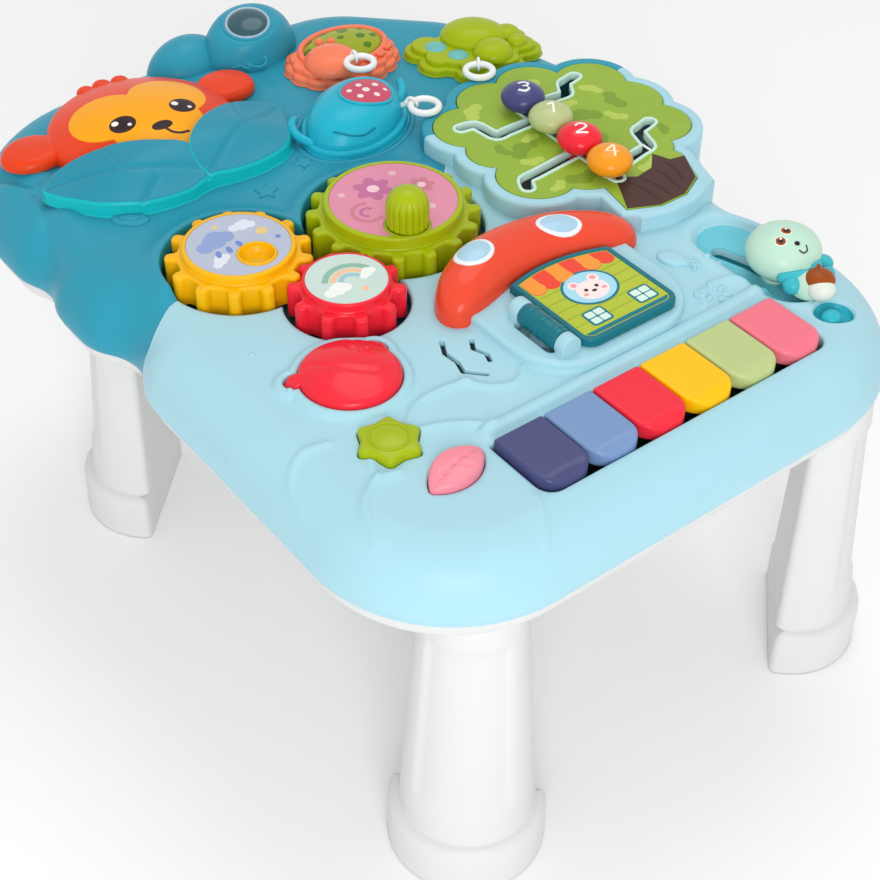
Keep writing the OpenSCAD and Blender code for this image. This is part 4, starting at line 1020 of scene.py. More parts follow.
cap_rings = []
for k in range(97):
    t = math.sin(QUARTER * (2 * k / 96 - 1))
    s = math.sqrt(max(1 - abs(t) ** 4, 0.0004))
    a = math.radians(90 - CAP_HALF * t)
    high = CAP_H * s ** 0.8 * (1 - CAP_THIN * min(max(t + 0.4, 0), 1))
    ring = []
    for b in math.pi * np.arange(33) / 32:
        c = math.cos(b)
        rr = ARCH_R + CAP_W - CAP_LEAN * t * t + CAP_W * s * math.copysign(abs(c) ** 0.8, c)
        ring.append((ARCH[0] + rr * math.cos(a), ARCH[1] + rr * math.sin(a),
                     high * max(math.sin(b), 0) ** 0.75))
    cap_rings.append(ring)
v, f = rings_mesh(cap_rings, close=False)
Part().add((v, [x[::-1] for x in f])).done("mushroom_skin", plastic("#ea4b30", 0.22, 0.04, coat=0.3), "table",
                                           "mushroom_cap", 60)

rim_white = plastic("#e9eef3", 0.25, 0.02, coat=0.2)
spot_blue = plastic("#a9cfe4", 0.15, 0.03, coat=0.5)


def lens_top(q):
    """Bulged glass of the mushroom spot at (x, y)."""
    return cap_z(q) + 0.8 + 1.2 * np.maximum(0, 1 - (np.linalg.norm(q - [x, y], axis=1) / 9.2) ** 2)


part = Part()
for x, y, wide, deep, turn in ((-19.5, -66.5, 11.6, 9.4, 12), (34, -69.5, 12.4, 8.4, -22)):
    part.add(film(circle(x, y, wide, 64, deep, turn), above(cap_z, 0.7), 3, r=0.6, steps=3, step=2.2))
    part.add(film(circle(x, y, wide - 2.1, 64, deep - 2.1, turn), lens_top, 2, r=0.5, steps=3, step=1.8), 1)
part.done("mushroom_spots", [rim_white, spot_blue], stands_for="mushroom_lights")


def hinge(y0, y1, r=HINGE_R, edge=0.8):
    """Bar with rounded ends on the door's axis."""
    length, bend = y1 - y0, (0.5, 1, 1.57)
    radii = [(0, 0.01), (0, r - edge)]
    radii += [(edge * (1 - math.cos(x)), r - edge + edge * math.sin(x)) for x in bend]
    radii += [(length - edge * (1 - math.cos(x)), r - edge + edge * math.sin(x)) for x in bend[::-1]]
    return rod((HINGE_X, y0, HINGE_Z), (HINGE_X, y1, HINGE_Z), radii + [(length, r - edge), (length, 0.01)])


plinth = rounded([(-40, -70, 8), (-40, -153, 33), (64, -153, 33), (64, -70, 8)], 14)
trough = box(-28, -136.2, -13.2, -107.8, 3)
part = Part().add(form(plinth, 0, 6, r=2.6, foot=2.2, holes=[(trough, 4)], lip=0.8))
part.add(lathe([(0, 2), (9, 2)], (HINGE_X, -122), 4))
for y0 in (-143.0, -108.0):
    part.add(hinge(y0, y0 + 7)).add(form(box(-25.8, y0 + 0.4, -14.2, y0 + 6.6, 1, 3), 3, 9.4, r=0.3))
part.done("house_plinth", sky)
door_teal = plastic("#13717f", 0.24, 0.04, coat=0.25)


def door_plan(d):
    """The door's outline moved in by d: a rounded square under the cap's inner arc."""
    return clipped(rounded([(-12.5, -70, 8), (-12.5, -146, 8), (49.5, -146, 8), (49.5, -70, 8)], 10, d),
                   circle(*ARCH, ARCH_R - 2 - d, 240))


part = Part().add(form(door_plan(0), 6.3, 10.8, r=1.2, holes=[(door_plan(3.2), 0.7)], lip=0.4, bottom=True))
part.add(hinge(-135.5, -108.5))
for y0 in (-131, -122, -113):
    part.add(hinge(y0 - 1.6, y0 + 1.6, HINGE_R + 0.35, 0.35))
part.add(form(box(HINGE_X, -133.5, -10, -110.5, 1, 3), 6.3, 10.2, r=0.5, bottom=True))
part.done("house_door_frame", door_teal, "house_door", "house_door")

wall = plastic("#b6c43c", 0.3, 0.05)
Part().add(form(door_plan(3.3), 10.0, 10.35, r=0.1, steps=1)).done("door_picture_base", wall, "house_door",
                                                                   "door_picture")

BOARD, FRAME_M, AWNING_M, STRIPE_M, SKY_M, FUR, BLUSH, DARK, PANE = range(1, 10)
BOARD_Y, AWNING_Y, WINDOW_Y = -140, -97.5, -137.5
inner = door_plan(4.0)
cx, cy = 18.5, -112.0
shapes = [(box(-9, y0, 47, y0 + 0.7), BOARD, 0) for y0 in BOARD_Y + 7 * np.arange(8)]
shapes.append((box(-10, -144, 47, -139.5), FRAME_M, 1))
scallops = [circle(-4 + 9 * k, AWNING_Y, 5.2, 28) for k in range(6)]
shapes.append((union(scallops + [box(-10, AWNING_Y, 47, -80)]), AWNING_M, 1))
for x in (-4, 14, 32):
    shapes.append((union([circle(x, AWNING_Y, 5.0, 28), box(x - 4.4, AWNING_Y, x + 4.4, -80)]), STRIPE_M, 2))
shapes = [(clipped(p, inner), m, layer) for p, m, layer in shapes]
shapes += [(circle(cx, cy, 15.6, 56, 13.6), FRAME_M, 2), (circle(cx, cy, 14.2, 56, 12.2), SKY_M, 3)]
ears = [circle(cx + s * 6.2, cy + 5.2, 3.2, 24) for s in (-1, 1)]
shapes.append((union([circle(cx, cy - 2.2, 9.0, 40, 7.6)] + ears), FUR, 4))
face = [(s * 6.2, 5.4, 1.7, 1.7, BLUSH) for s in (-1, 1)]
face += [(s * 3.4, -1.0, 1.15, 1.15, DARK) for s in (-1, 1)]
face += [(0, -3.4, 1.5, 1.0, DARK)] + [(s * 5.8, -4.0, 1.5, 1.1, BLUSH) for s in (-1, 1)]
shapes += [(circle(cx + x, cy + y, r, 18, ry), m, 5) for x, y, r, ry, m in face]
for wx in (-0.5, 29.5):
    shapes.append((box(wx, WINDOW_Y, wx + 13, WINDOW_Y + 11.5, 2), FRAME_M, 2))
    for a, b in ((0, 0), (1, 0), (0, 1), (1, 1)):
        x0, y0 = wx + 1.2 + a * 5.6, WINDOW_Y + 1.1 + b * 5.0
        shapes.append((box(x0, y0, x0 + 5.0, y0 + 4.3, 0.8), PANE, 3))
printed("door_print", [x for x in shapes if x[0] is not None], 10.36, "house_door",
        [wall, *plastics(0.35, "#9fb02a"), *plastics(0.3, "#16788a", "#ef4a34", "#f59a3c", "#a8ddf0",
                                                     "#fbe9e6",
                                                     "#f4a3a8", "#4a2c2c", "#d9f2e4")])

# ---------- tree ----------

wide = crown(7)
bite = circle(73.5, -83, 8.3, 48)
wide = edge_loop(*mesh_plan([(wide, True), (bite, True)], within(wide, but=[bite])))
v, f = form(wide, -24, 10.2, r=2.6, steps=6, holes=[(crown(0.3), 2.6)], lip=1.2)
mids = np.array([np.array(v)[x].mean(0) for x in f])
Part().add((v, f), [int(y > 47.3 - 0.066 * (x - 47.4)) for x, y in mids[:, :2]]).done(
    "tree_plinth", [sky, teal], sharp=50)

ARMS = [[(100, 46), (96.1, -46.6)], [(98, 25), (70, 25), (67, 41), (59, 43)],
        [(99.5, 38), (131, 36.5), (138, 46), (148, 48.5)], [(96.5, -14.4), (55, -18.5), (51, -25)],
        [(95, -40.6), (131, -33.5), (137, -18.5), (149, -15)]]
soft_arms = [dense(p, 4, False) if len(p) == 2 else smooth_path(dense(p, 9, False), 3) for p in ARMS]


def slot_outline(r):
    polys = []
    for p in soft_arms:
        for strip, b in zip(strips(p, r), p[1:]):
            polys += [strip, circle(*b, r, 20)]
        polys.append(circle(*p[0], r, 20))
    return thinned(union(polys), 0.45)


leafy = plastic("#93b23a", 0.3, 0.1)
Part().add(form(crown(0), 7, 10, r=0.35, steps=3, holes=[(slot_outline(4.6), 3)], lip=0.2)).done(
    "tree_picture", leafy, stands_for="tree_plate")
Part().add(form(slot_outline(4.95), 7, 10.8, r=0.6, steps=3, holes=[(slot_outline(3.0), 4.5)], lip=0.5)).done(
    "slot_edges", plastic("#c9e9dc", 0.3, 0.03), stands_for="slot_lining")

TUFT = ((-6, 0, 4.5), (0, 2.2, 5.2), (6.2, 0.4, 4.2))
# [x, y, scale, turn, material] of the darker and lighter leaves
TUFTS = ((74, 5, 1.0, 20, 0), (123, 12, 1.1, -25, 0), (150, 15, 0.9, 80, 0), (118, 56, 1.0, 10, 1),
         (76, 52, 0.9, 40, 1), (70, -6, 0.7, 160, 1), (112, -12, 0.9, 200, 0), (139, 2, 0.7, 120, 1),
         (82, -34, 1.0, 170, 0), (146, 32, 0.7, -60, 1), (120, -47, 0.9, 190, 1), (84, 12, 0.6, 0, 1),
         (124, 26, 0.7, 10, 1), (64, 12, 0.6, 90, 0), (150, -24, 0.6, 250, 0), (65, -33, 0.6, 200, 1))
BARK_TOP = [(95.6, -45.3), (105.6, -52.3), (117.6, -50.3), (127.6, -40.3), (131.6, -50.3), (140.6, -52.3)]
tree_mats = [plastic("#7c9c30", 0.35, 0.08), plastic("#b3c957", 0.35, 0.06), plastic("#4a2e28", 0.4, 0.08),
             plastic("#3f2226", 0.4, 0.08)]
prints = []
for x, y, k, turn, m in TUFTS:
    prints.append((move(union([circle(a * k, b * k, r * k) for a, b, r in TUFT]), x, y, turn), m, 0))
foot = crown(-0.5)
foot = np.roll(foot, -int(np.argmax(foot[:, 1])), 0)
prints.append((ccw(np.concatenate([foot[foot[:, 1] < -50], BARK_TOP[::-1]])), 2, 1))
for a, b in (((100, -75), (98, -52)), ((108, -76), (106, -54)), ((116, -75), (118, -52)),
             ((123, -70), (128, -50))):
    line = smooth_path([a, (0.5 * (a[0] + b[0]) + 1.5, 0.5 * (a[1] + b[1])), b], 6)
    w = 0.9 * np.sin(np.linspace(0.15, math.pi - 0.05, len(line)))[:, None] * beside(line)
    prints.append((ccw(np.concatenate([line + w, (line - w)[::-1]])), 3, 3))
printed("tree_print", prints, 10.02, "table", tree_mats)

# Beads with plain numerals
STROKES = {
    "1": [(-2, 2.6), (0.6, 4.4), (0.6, -4.4)],
    "2": [(-2.8, 2.6), (-1.2, 4.4), (1.6, 4.2), (2.8, 2.2), (1.4, -0.6), (-2.9, -4.2), (3.0, -4.2)],
    "3": [(-2.6, 3.6), (0.2, 4.6), (2.6, 2.9), (1.2, 0.6), (-0.6, 0.3), (1.4, 0.1), (3.0, -2.0), (0.6, -4.4),
          (-2.8, -3.5)],
    "4": [(1.6, -4.5), (1.6, 4.5), (-3.2, -1.6), (3.4, -1.6)]}
BEAD_R, BEAD_Z, BEAD_H, BEAD_POWER = 12.6, 18.6, 7.6, 2.2
BEAD_STEM = [(0, 4.5), (5.2, 4.5), (5.4, 4.7), (5.4, 6.4), (5.2, 6.6), (2.4, 6.6), (2.4, 11.2)]


def bead_rise(share):
    """Height of a bead's surface over its middle, by the share of its radius."""
    return BEAD_H * max(1 - share ** BEAD_POWER, 0) ** 0.5


def bead_top(q):
    d = np.linalg.norm(q - at, axis=1) / BEAD_R
    return BEAD_Z + BEAD_H * np.maximum(1 - np.clip(d, 0, 0.999) ** BEAD_POWER, 0) ** 0.5


shares = np.sin(np.linspace(0.25, QUARTER, 16))
bead = BEAD_STEM + [(BEAD_R * x, BEAD_Z - bead_rise(x)) for x in shares]
bead += [(BEAD_R * x, BEAD_Z + bead_rise(x)) for x in shares[-2::-1]] + [(1.5, 26.17), (0, 26.2)]
for i, (name, tint, ink, sign) in enumerate((
        ("bead_navy", "#45487a", "#f2f2f2", "3"), ("bead_green", "#b9c58a", "#f7f9ee", "1"),
        ("bead_red", "#ee2436", "#f7f0ee", "2"), ("bead_orange", "#f59b1c", "#fdeccb", "4"))):
    at = np.array([99.5 - 1.5 * i, 38 - 26.2 * i])
    stroke = smooth_path(STROKES[sign], 5) if sign in "23" else dense(STROKES[sign], 0.8, False)
    numeral = tube(drape(move(stroke, at[0] - 0.5, at[1] - 1.0, -36), bead_top, 0.02), 0.75, n=8, flat=0.35)
    Part().add(lathe(bead, at, 72)).add(numeral, 1).done(
        name + "_ball", [plastic(tint, 0.18, 0.03, coat=0.4), plastic(ink, 0.3, 0.02)], name, name, 50)

# ---------- monkey behind its leaves ----------

EARS = [(-61.5, 15.5), (62, 13.5)]


def dome(q):
    return -100 + np.sqrt(14400 - np.minimum(np.linalg.norm(q - HEAD, axis=1), 90) ** 2)


def ear_top(q):
    return 9.2 - 0.008 * np.min([np.linalg.norm(q - HEAD - e, axis=1) for e in EARS], axis=0) ** 2


part = Part().add(form(circle(*HEAD, 54.2, 120), 0.4, dome, r=3.4, steps=7, step=4.0, bottom=True))
for e in EARS:
    part.add(form(circle(*(HEAD + e), 18.6, 72, 15.6), 1.4, ear_top, r=4.2, steps=7, step=2.4, bottom=True))
for a, r in ((75, 5.6), (87, 6.0), (99, 5.6)):
    part.add(form(circle(*(HEAD + 51.5 * heading(a)), r, 32), 1.4, 9.6, r=3.0, bottom=True))
part.add(form(box(-87.5, 151.5, -71.5, 161.5), -8, 1, r=0.3))
part.done("monkey_head_shell", plastic("#e8441c", 0.28, 0.04), "monkey", "monkey_head")

eye_brown, ink, eye_white, gold = (plastic("#3a2226", 0.2, 0.05), plastic("#2b1a1c", 0.3),
                                   plastic("#f6f3ec", 0.3), plastic("#fba806", 0.3, 0.03))
mask = union(discs(*HEAD, ((-19, 4.5, 22), (19, 4.5, 22), (0, -17, 27)), 64))
part = Part().add(film(dense(mask, 3), above(dome, 0.5), 1.6, r=0.45, steps=3, step=4))
spots = []
for x, y, turn in ((-96.7, 147.1, -3), (-59.3, 145.7, 3)):
    spots += [(circle(x, y, 7.6, 40, 6.9, turn), 0.62, 1), (circle(x, y, 4.6, 28, 5.1), 0.68, 2),
              (circle(x - 3.3, y + 2.8, 2.0, 20), 0.74, 3), (circle(x + 2.8, y - 2.9, 1.2, 16), 0.74, 3)]
spots.append((circle(-79.2, 134.2, 6.2, 32, 3.4, -2), 0.62, 2))
smile = smooth_path([(-78.8, 131.3), (-77, 127.0), (-73.1, 124.6), (-68.6, 124.3)], 5)
spots.append((thick(smile, 0.8, 3), 0.62, 2))
for shape, up, m in spots:
    part.add(film(shape, above(dome, up), 0.5, r=0.04, steps=1, step=1.6), m)
part.done("monkey_mask", [gold, eye_brown, ink, eye_white], "monkey", "monkey_face")

LEAF_LEFT = [(-77.5, 89.6), (-84.5, 86.6), (-94.4, 85), (-111.4, 86.5), (-123.4, 90.5), (-138, 99.7),
             (-148, 114),
             (-154.4, 126), (-155.6, 133), (-150, 139), (-142.5, 142), (-132.6, 141.4), (-118.6, 136),
             (-107, 131),
             (-96, 124.8), (-86.4, 117.6), (-77.5, 110), (-72, 99)]
LEAF_RIGHT = [(-78.4, 90), (-70.4, 87.4), (-60.2, 85.5), (-43.1, 85.3), (-26.6, 90), (-16.4, 102),
              (-9.2, 118.5),
              (-6.2, 130.5), (-12.5, 138.8), (-28.5, 138.4), (-46.5, 131.5), (-61.4, 124.2), (-73.2, 114.2),
              (-80.2, 103)]
CREASES = [
    ([(-154, 132), (-144, 130), (-134, 124), (-113, 108.6), (-93, 100.4), (-77, 94)], 0.9, 1.1),
    ([(-117, 134.5), (-117.6, 123.8), (-117.1, 112.5)], 0.6, 0.9),
    ([(-105.1, 98), (-112.2, 94.2), (-121, 88)], 1.1, 1.2),
    ([(-79.1, 88.6), (-65.5, 96.8), (-51.2, 105.2), (-31.4, 115.6), (-12, 126.5)], 0.9, 1.1),
    ([(-32.4, 136.5), (-36.6, 125), (-39.9, 111.4)], 0.5, 0.9)]
CREASE_ROWS = (-2, -1.3, -0.8, -0.4, 0, 0.4, 0.8, 1.3, 2)
LEAF_T, LEAF_GAP, LEAF_EDGE = 2.5, 1.35, 1.1
crease_lines = [(smooth_path(p, 6), h, w) for p, h, w in CREASES]


def leaf_skin(q):
    """Leaves' top: low at the front edge, arched over the monkey behind it."""
    t = np.clip((q[:, 1] - 80) / 36, 0, 1)
    z = 6.4 + 14.6 * np.exp(-((q[:, 0] + 80) / 55) ** 4) * t * t * (3 - 2 * t)
    for line, h, w in crease_lines:
        z -= h * bell(q, line, w)
    return z


def sheet(shape, high, t, r, steps, extra):
    """Curved plate of thickness t with a rounded top edge."""
    p = ccw(shape)
    v, f = film(p, high, t - r, r=r, steps=steps, extra=extra)
    rim = np.array(v[:len(p)])
    q, tri = mesh_plan([(p, True)], within(p), grid(p, 5, 3))
    z = high(q) - 0.62 * t
    for i, a in enumerate(q):
        gaps = ((rim[:, :2] - a) ** 2).sum(1)
        k = int(np.argmin(gaps))
        if gaps[k] < 1e-4:
            z[i] = rim[k, 2]
    s = len(v)
    return v + [tuple(x) for x in at_height(q, z)], f + [[s + x[2], s + x[1], s + x[0]] for x in tri]


part = Part()
blades = []
for shape, up in ((LEAF_LEFT, 0.0), (LEAF_RIGHT, 0.9)):
    plan_l = dense(ccw(smooth_path(shape, 7, True)), 2.2)
    blades.append(plan_l)
    rim = offset(plan_l, 2.2)
    points = grid(rim, 3.0, 1.6)
    for line, h, w in crease_lines:
        points = points[distance(points, line, False) > 2.6]
        rows = np.concatenate([dense(line + beside(line) * t, 1.3, False) for t in CREASE_ROWS])
        rows = rows[inside(rows, rim)]
        points = np.concatenate([points, rows[distance(rows, rim) > 0.5]])
    v, f = sheet(plan_l, above(leaf_skin, up), LEAF_T, 2.2, 6, [points])
    mids = np.array([np.array(v)[x].mean(0)[:2] for x in f])
    part.add((v, f), [0 if d < LEAF_EDGE else 1 for d in distance(mids, plan_l)])
# The wall stands under the edge where the monkey's head doesn't pass
whole = union(blades)
outer = whole[distance(whole, arr([HEAD, HEAD - [0, 10]]), False) > 56.5]
outer = np.roll(outer, -int(np.argmax(np.linalg.norm(outer - np.roll(outer, 1, 0), axis=1))), 0)
path = thinned(outer, 4)
path = path + beside(path) * LEAF_GAP
part.add(form(dense(thick(path, 1.3, 3), 2.2), 0.1, above(leaf_skin, -1.6), r=0.2, steps=2, foot=1.0))
part.done("leaf_cover_shell", [plastic("#12b7bd", 0.3, 0.05), plastic("#288fa8", 0.32, 0.05)], "table",
          "leaf_cover", 60)

# ---------- rattles ----------

SHELL_FOOT, RING_R, RING_BAR, EYE_R = 0.4, 8, 2.0, 3.35
ring_white = plastic("#eef0ee", 0.25, 0.02)


def ring_and_eye(name, at, direction, z, reach):
    """Carry ring as an object of its own, and the meshes of the eyelet it hangs in."""
    at, d = np.array(at), heading(direction)
    loop = circle(*(at + d * RING_R), RING_R, 48)
    Part().add(tube(at_height(loop, z), RING_BAR, True, 16)).done(
        name + "_ring_loop", ring_white, name + "_ring", name + "_ring")
    eye = [(*(at + d * EYE_R * math.cos(a)), z + EYE_R * math.sin(a)) for a in turns(28)]
    post = [(*(at - d * k), h) for k, h in ((reach + 2.5, z - 6), (reach, z - 3.4), (4.2, z - 1.4), (3.4, z))]
    return [tube(eye, 0.9, True, 10), tube(smooth_path(post, 4), 1.5, n=10)]


def frill(x, y, core, lobe, start, stop):
    """Ellipse with a ring of lobes: core is [rx, ry], lobe is [rx, ry, radius]."""
    angles = np.radians(np.arange(start, stop, 24))
    return union([circle(x, y, core[0], 96, core[1])] + [
        circle(x + lobe[0] * math.cos(a), y + lobe[1] * math.sin(a), lobe[2], 40) for a in angles])


coral, coral_dark = plastic("#f5805c", 0.26, 0.04), plastic("#e06a4c", 0.3, 0.04)
x, y = 57.5, 156.5
window_at = np.array([x + 4, y + 4.5])


def moss_top(q):
    return 8.4 + 4.6 * np.sqrt(np.maximum(1 - (((q - window_at) / [25.6, 18.2]) ** 2).sum(1), 0.004))


part = Part().add(form(frill(x, y, (34, 26.6), (28, 21, 8.6), 140, 420), SHELL_FOOT, 5.4, r=2.4, foot=0.8,
                       bottom=True))
part.add(form(frill(x, y, (31.5, 24.2), (26.5, 19.8, 7.0), 152, 400), 5.2, 8.6, r=1.7))
part.add(tube(at_height(circle(x + 3, y + 3.5, 27.6, 72, 20.4), 9.0), 1.9, True, 12))
part.add(cap_of(x - 13, y - 8.5, 17.0, 8, 17.6))
for bx, by in ((48.6, 167.2), (54.9, 163.8)):
    part.add(ball(bx, by, 11.6, 3.0, 1.0, 24, 10))
for cx, cy, turn in ((64.5, 136.5, -15), (73.0, 138.5, 10), (81.5, 143, 35)):
    curl = [(cx + 3.2 * math.cos(a) * (1 - 0.12 * a), cy + 3.2 * math.sin(a) * (1 - 0.12 * a), 9.2 + 0.25 * a)
            for a in np.linspace(0, 5.2, 22) + math.radians(turn)]
    part.add(tube(curl, 1.5, n=10))
for mesh in ring_and_eye("snail", (53, 137), -100, 15, 3):
    part.add(mesh, 2)
part.done("snail_body", [coral, coral_dark, ring_white], "snail", "snail_rattle")
MOSS_SPOTS = ((38.5, 164.5, 3.4), (46, 174.5, 2.8), (68.7, 172.1, 4.2), (73.4, 159.7, 3.4),
              (81.5, 158.0, 2.6),
              (71.5, 149.6, 3.0), (58, 176.5, 2.8), (79, 168.5, 2.4), (62, 164, 2.6))
part = Part().add(film(circle(*window_at, 25.4, 72, 18), moss_top, 0.3, r=0.1, steps=1, step=2.0))
for sx, sy, r in MOSS_SPOTS:
    part.add(film(circle(sx, sy, r, 24, r * 0.8, 30), above(moss_top, 0.06), 0.4, r=0.03, steps=1, step=1.4),
             1)
part.done("snail_window_cap", [plastic("#9aa81c", 0.2, 0.06), plastic("#4f7a12", 0.25, 0.08)], "snail",
          "snail_window")

x, y = WHALE
blue = plastic("#22b1ca", 0.24, 0.05)


def on_whale(p):
    return move(p, x, y, WHALE_TURN)


def hull_top(q):
    p = move(q - WHALE, 0, 0, -WHALE_TURN)
    d = (p[:, 0] / 35.5) ** 2 + (p[:, 1] / 25.0) ** 2
    return 5.2 + 16.6 * np.maximum(1 - d ** 1.5, 0) ** 0.5


window_at = np.array([x + 7.4, y - 1.4])
socket = [(window_at[0] + 15.8 * math.cos(a), window_at[1] + 13.4 * math.sin(a)) for a in turns(48)]
tail = [(x + 30, y - 1, 5), (x + 37, y + 4, 8), (x + 40.5, y + 11, 10)]
fin = [(x - 34, y - 6, 4.6), (x - 37.5, y + 3, 6.4), (x - 35, y + 12, 7.4), (x - 30, y + 17, 6.6)]
smile = smooth_path(on_whale([(-31, -4), (-28, -12), (-22, -18), (-14, -21)]), 6)
part = Part().add(form(on_whale(circle(0, 0, 38, 96, 28)), SHELL_FOOT, 5.0, r=2.0, foot=0.8, bottom=True))
part.add(form(on_whale(circle(0, 0, 35.4, 96, 24.9)), 4.9, hull_top, r=0.15, steps=1, step=1.7))
part.add(tube(smooth_path(tail, 5), np.linspace(3.6, 2.2, 11), n=14))
part.add(tube(smooth_path(fin, 5), 2.6, n=14))
part.add(tube(drape(socket, hull_top, 0.2), 1.0, True, 8))
part.add(tube(drape(smile, hull_top, 0.1), 0.55, n=8), 1)
for mesh in ring_and_eye("whale", (x + 28.9, y - 15.9), -60, 12.6, 7):
    part.add(mesh, 2)
part.done("whale_body", [blue, plastic("#157f9c", 0.3, 0.05), ring_white], "whale", "whale_rattle", 50)
part = Part().add(film(circle(*window_at, 15.2, 64, 12.8), above(hull_top, 0.55), 1.2, r=0.5, steps=3,
                       step=1.8))
for a, reach, r in ((0, 0, 2.2), (20, 8.6, 1.9), (95, 7.6, 1.8), (150, 10, 1.6), (215, 8.2, 1.9),
                    (290, 8.4, 1.8),
                    (340, 11.6, 1.3)):
    p = window_at + heading(a) * reach * [1, 0.84]
    part.add(film(circle(*p, r, 22), above(hull_top, 0.62), 0.4, r=0.05, steps=1, step=1.2), 1)
part.done("whale_window_cap", [plastic("#cc5068", 0.2, 0.06), plastic("#f3dfe2", 0.25, 0.02)], "whale",
          "whale_window")

x, y = 126, 115
olive = plastic("#a3b50c", 0.22, 0.06)
FROG_BASE = ((-24, 20, 11), (-26, 3, 11), (-14, -17, 11), (8, -23, 10), (28, -14, 10.5), (31, 2, 9),
             (6, 19, 12),
             (22, 12, 9))
FROG_UPPER = ((-22, 18.5, 9.5), (-24, 3, 8.5), (-12, -15, 9), (8, -20, 8.5), (26, -13, 8.5), (28, 1, 7.5),
              (6, 16, 10), (20, 10, 8))


def frog_plan(rx, ry, lobes):
    return union([move(circle(0, 0, rx, 96, ry), x, y, -22)] + discs(x, y, lobes))


def frog_top(q):
    p = move(q - [x + 6, y + 8], 0, 0, 38) / [20.8, 17.3]
    return 8.2 + 9.6 * np.maximum(1 - (p ** 2).sum(1) ** 1.2, 0.001) ** 0.5


part = Part().add(form(frog_plan(33, 24, FROG_BASE), SHELL_FOOT, 5, r=2.0, foot=0.8, bottom=True))
part.add(form(frog_plan(30, 21, FROG_UPPER), 4.8, 8.4, r=1.8))
part.add(form(circle(x + 6, y + 8, 20.5, 72, 17, -38), 8, frog_top, r=0.1, steps=1, step=1.6))
for px, py, r, top in ((3, -14, 12.4, 16.2), (24, -1.5, 8.6, 14), (23, -12, 6.6, 13)):
    part.add(cap_of(x + px, y + py, r, 8, top))
for mesh in ring_and_eye("frog", (x - 17, y - 25), -125, 12.6, 7):
    part.add(mesh, 1)
part.done("frog_body", [olive, ring_white], "frog", "frog_rattle")
part = Part()
for px, py, r in ((-20, 12, 6.6), (-15, -3.5, 6.2)):
    part.add(cap_of(x + px, y + py, r, 8.2, 9.9, 40, 2.0))
part.done("frog_window_caps", plastic("#6fb9b4", 0.15, 0.06), "frog", "frog_windows")

# ---------- squirrel ----------

NUT, NUT_R, NUT_Z = np.array([120.5, -146.5]), [20.3, 19.4, 13.6], 8.5


def crown_top(q):
    d = np.linalg.norm((q - NUT) / NUT_R[:2], axis=1)
    return NUT_Z + NUT_R[2] * np.sqrt(np.maximum(1 - d * d, 0.01))


mint, scarf = plastic("#bfe3cf", 0.2, 0.05), plastic("#3fb9c4", 0.25, 0.05)
part = Part().add(egg(*NUT, NUT_Z, NUT_R, np.linspace(-0.6, QUARTER, 20), 72))
# [x, y, z, radius, squash, points round, rings, lowest angle, material] of the body, scarf and acorn
for *place, m in ((117, -170, 2.6, 11.2, 0.8, 48, 14, -0.3, 0), (133.5, -163, 4.4, 5.2, 0.9, 28, 10, -0.9, 1),
                  (107, -166.5, 4.4, 5.2, 0.9, 28, 10, -0.9, 1), (129, -170, 4.4, 4.0, 0.9, 28, 10, -0.9, 1),
                  (115.0, -178.4, 5.6, 7.4, 0.8, 36, 12, -0.8, 5),
                  (117.4, -174.6, 8.4, 8.0, 0.66, 36, 12, -0.35, 2),
                  (117.8, -156.4, height_at(crown_top, 117.8, -156.4) - 0.2, 1.5, 0.7, 20, 8, -0.2, 3)):
    part.add(ball(*place), m)
neck = [(106 + 26 * k, -160.5 - 9.5 * math.sin(math.pi * k) + 3 * k, 6.2 + 2.5 * math.sin(math.pi * k))
        for k in np.linspace(0, 1, 14)]
grin = smooth_path([(116.4, -159.8), (117.8, -161.6), (120.4, -161.4), (121.6, -159.4)], 5)
part.add(tube(neck, 3.0, n=14), 1).add(tube([(119, -171.8, 12.6), (119.8, -170.6, 13.6)], 1.0, n=10), 2)
part.add(tube(drape(grin, crown_top, 0.03), 0.4, n=8), 3)
for ex, ey in ((118.9, -147.3), (111.9, -150.6)):
    for r, up, m in ((2.9, 0.10, 4), (2.4, 0.16, 2), (1.3, 0.22, 3)):
        part.add(film(circle(ex, ey, r, 24, r * 1.1, 20), above(crown_top, up), 0.5, r=0.03, steps=1,
                      step=1.3), m)
    part.add(film(circle(ex + 0.9, ey + 1.0, 0.7, 14), above(crown_top, 0.28), 0.4, r=0.03, steps=1), 4)
part.add(lathe([(0, -6.7), (6.7, -6.7), (7, -6.4), (7, -3), (3.6, -2.8), (3.6, 5)], (115, -148), 48))
part.done("squirrel_figure", [mint, scarf, plastic("#9a4a14", 0.3, 0.08), plastic("#2b1a1c", 0.3), eye_white,
                              plastic("#dfe6dc", 0.3, 0.04)], "squirrel_slider", "squirrel_slider", 60)

# ---------- lamp pod and raised details ----------

LENS, POD, LENS_TILT = np.array([18.5, 198.5, 21.0]), np.array([22.5, 206.0]), 14
tilt_way = heading(-128)
pod_rings = []
for t in [-0.15, *np.linspace(0, 1, 40)]:
    u = max(t, 0.0)
    tilt = math.radians(LENS_TILT * u)
    q = circle(0, 0, 33.5 - 18.3 * u ** 1.5, 96, 25.5 - 10.3 * u ** 1.6, 8)
    lean = q @ tilt_way
    flat = q - np.outer(lean * (1 - math.cos(tilt)), tilt_way) + POD + (LENS[:2] - POD) * u ** 1.1
    rise = -6 + 27.2 * math.sin(u * QUARTER) ** 1.1 if t >= 0 else -9
    pod_rings.append(at_height(flat, rise - lean * math.sin(tilt)))


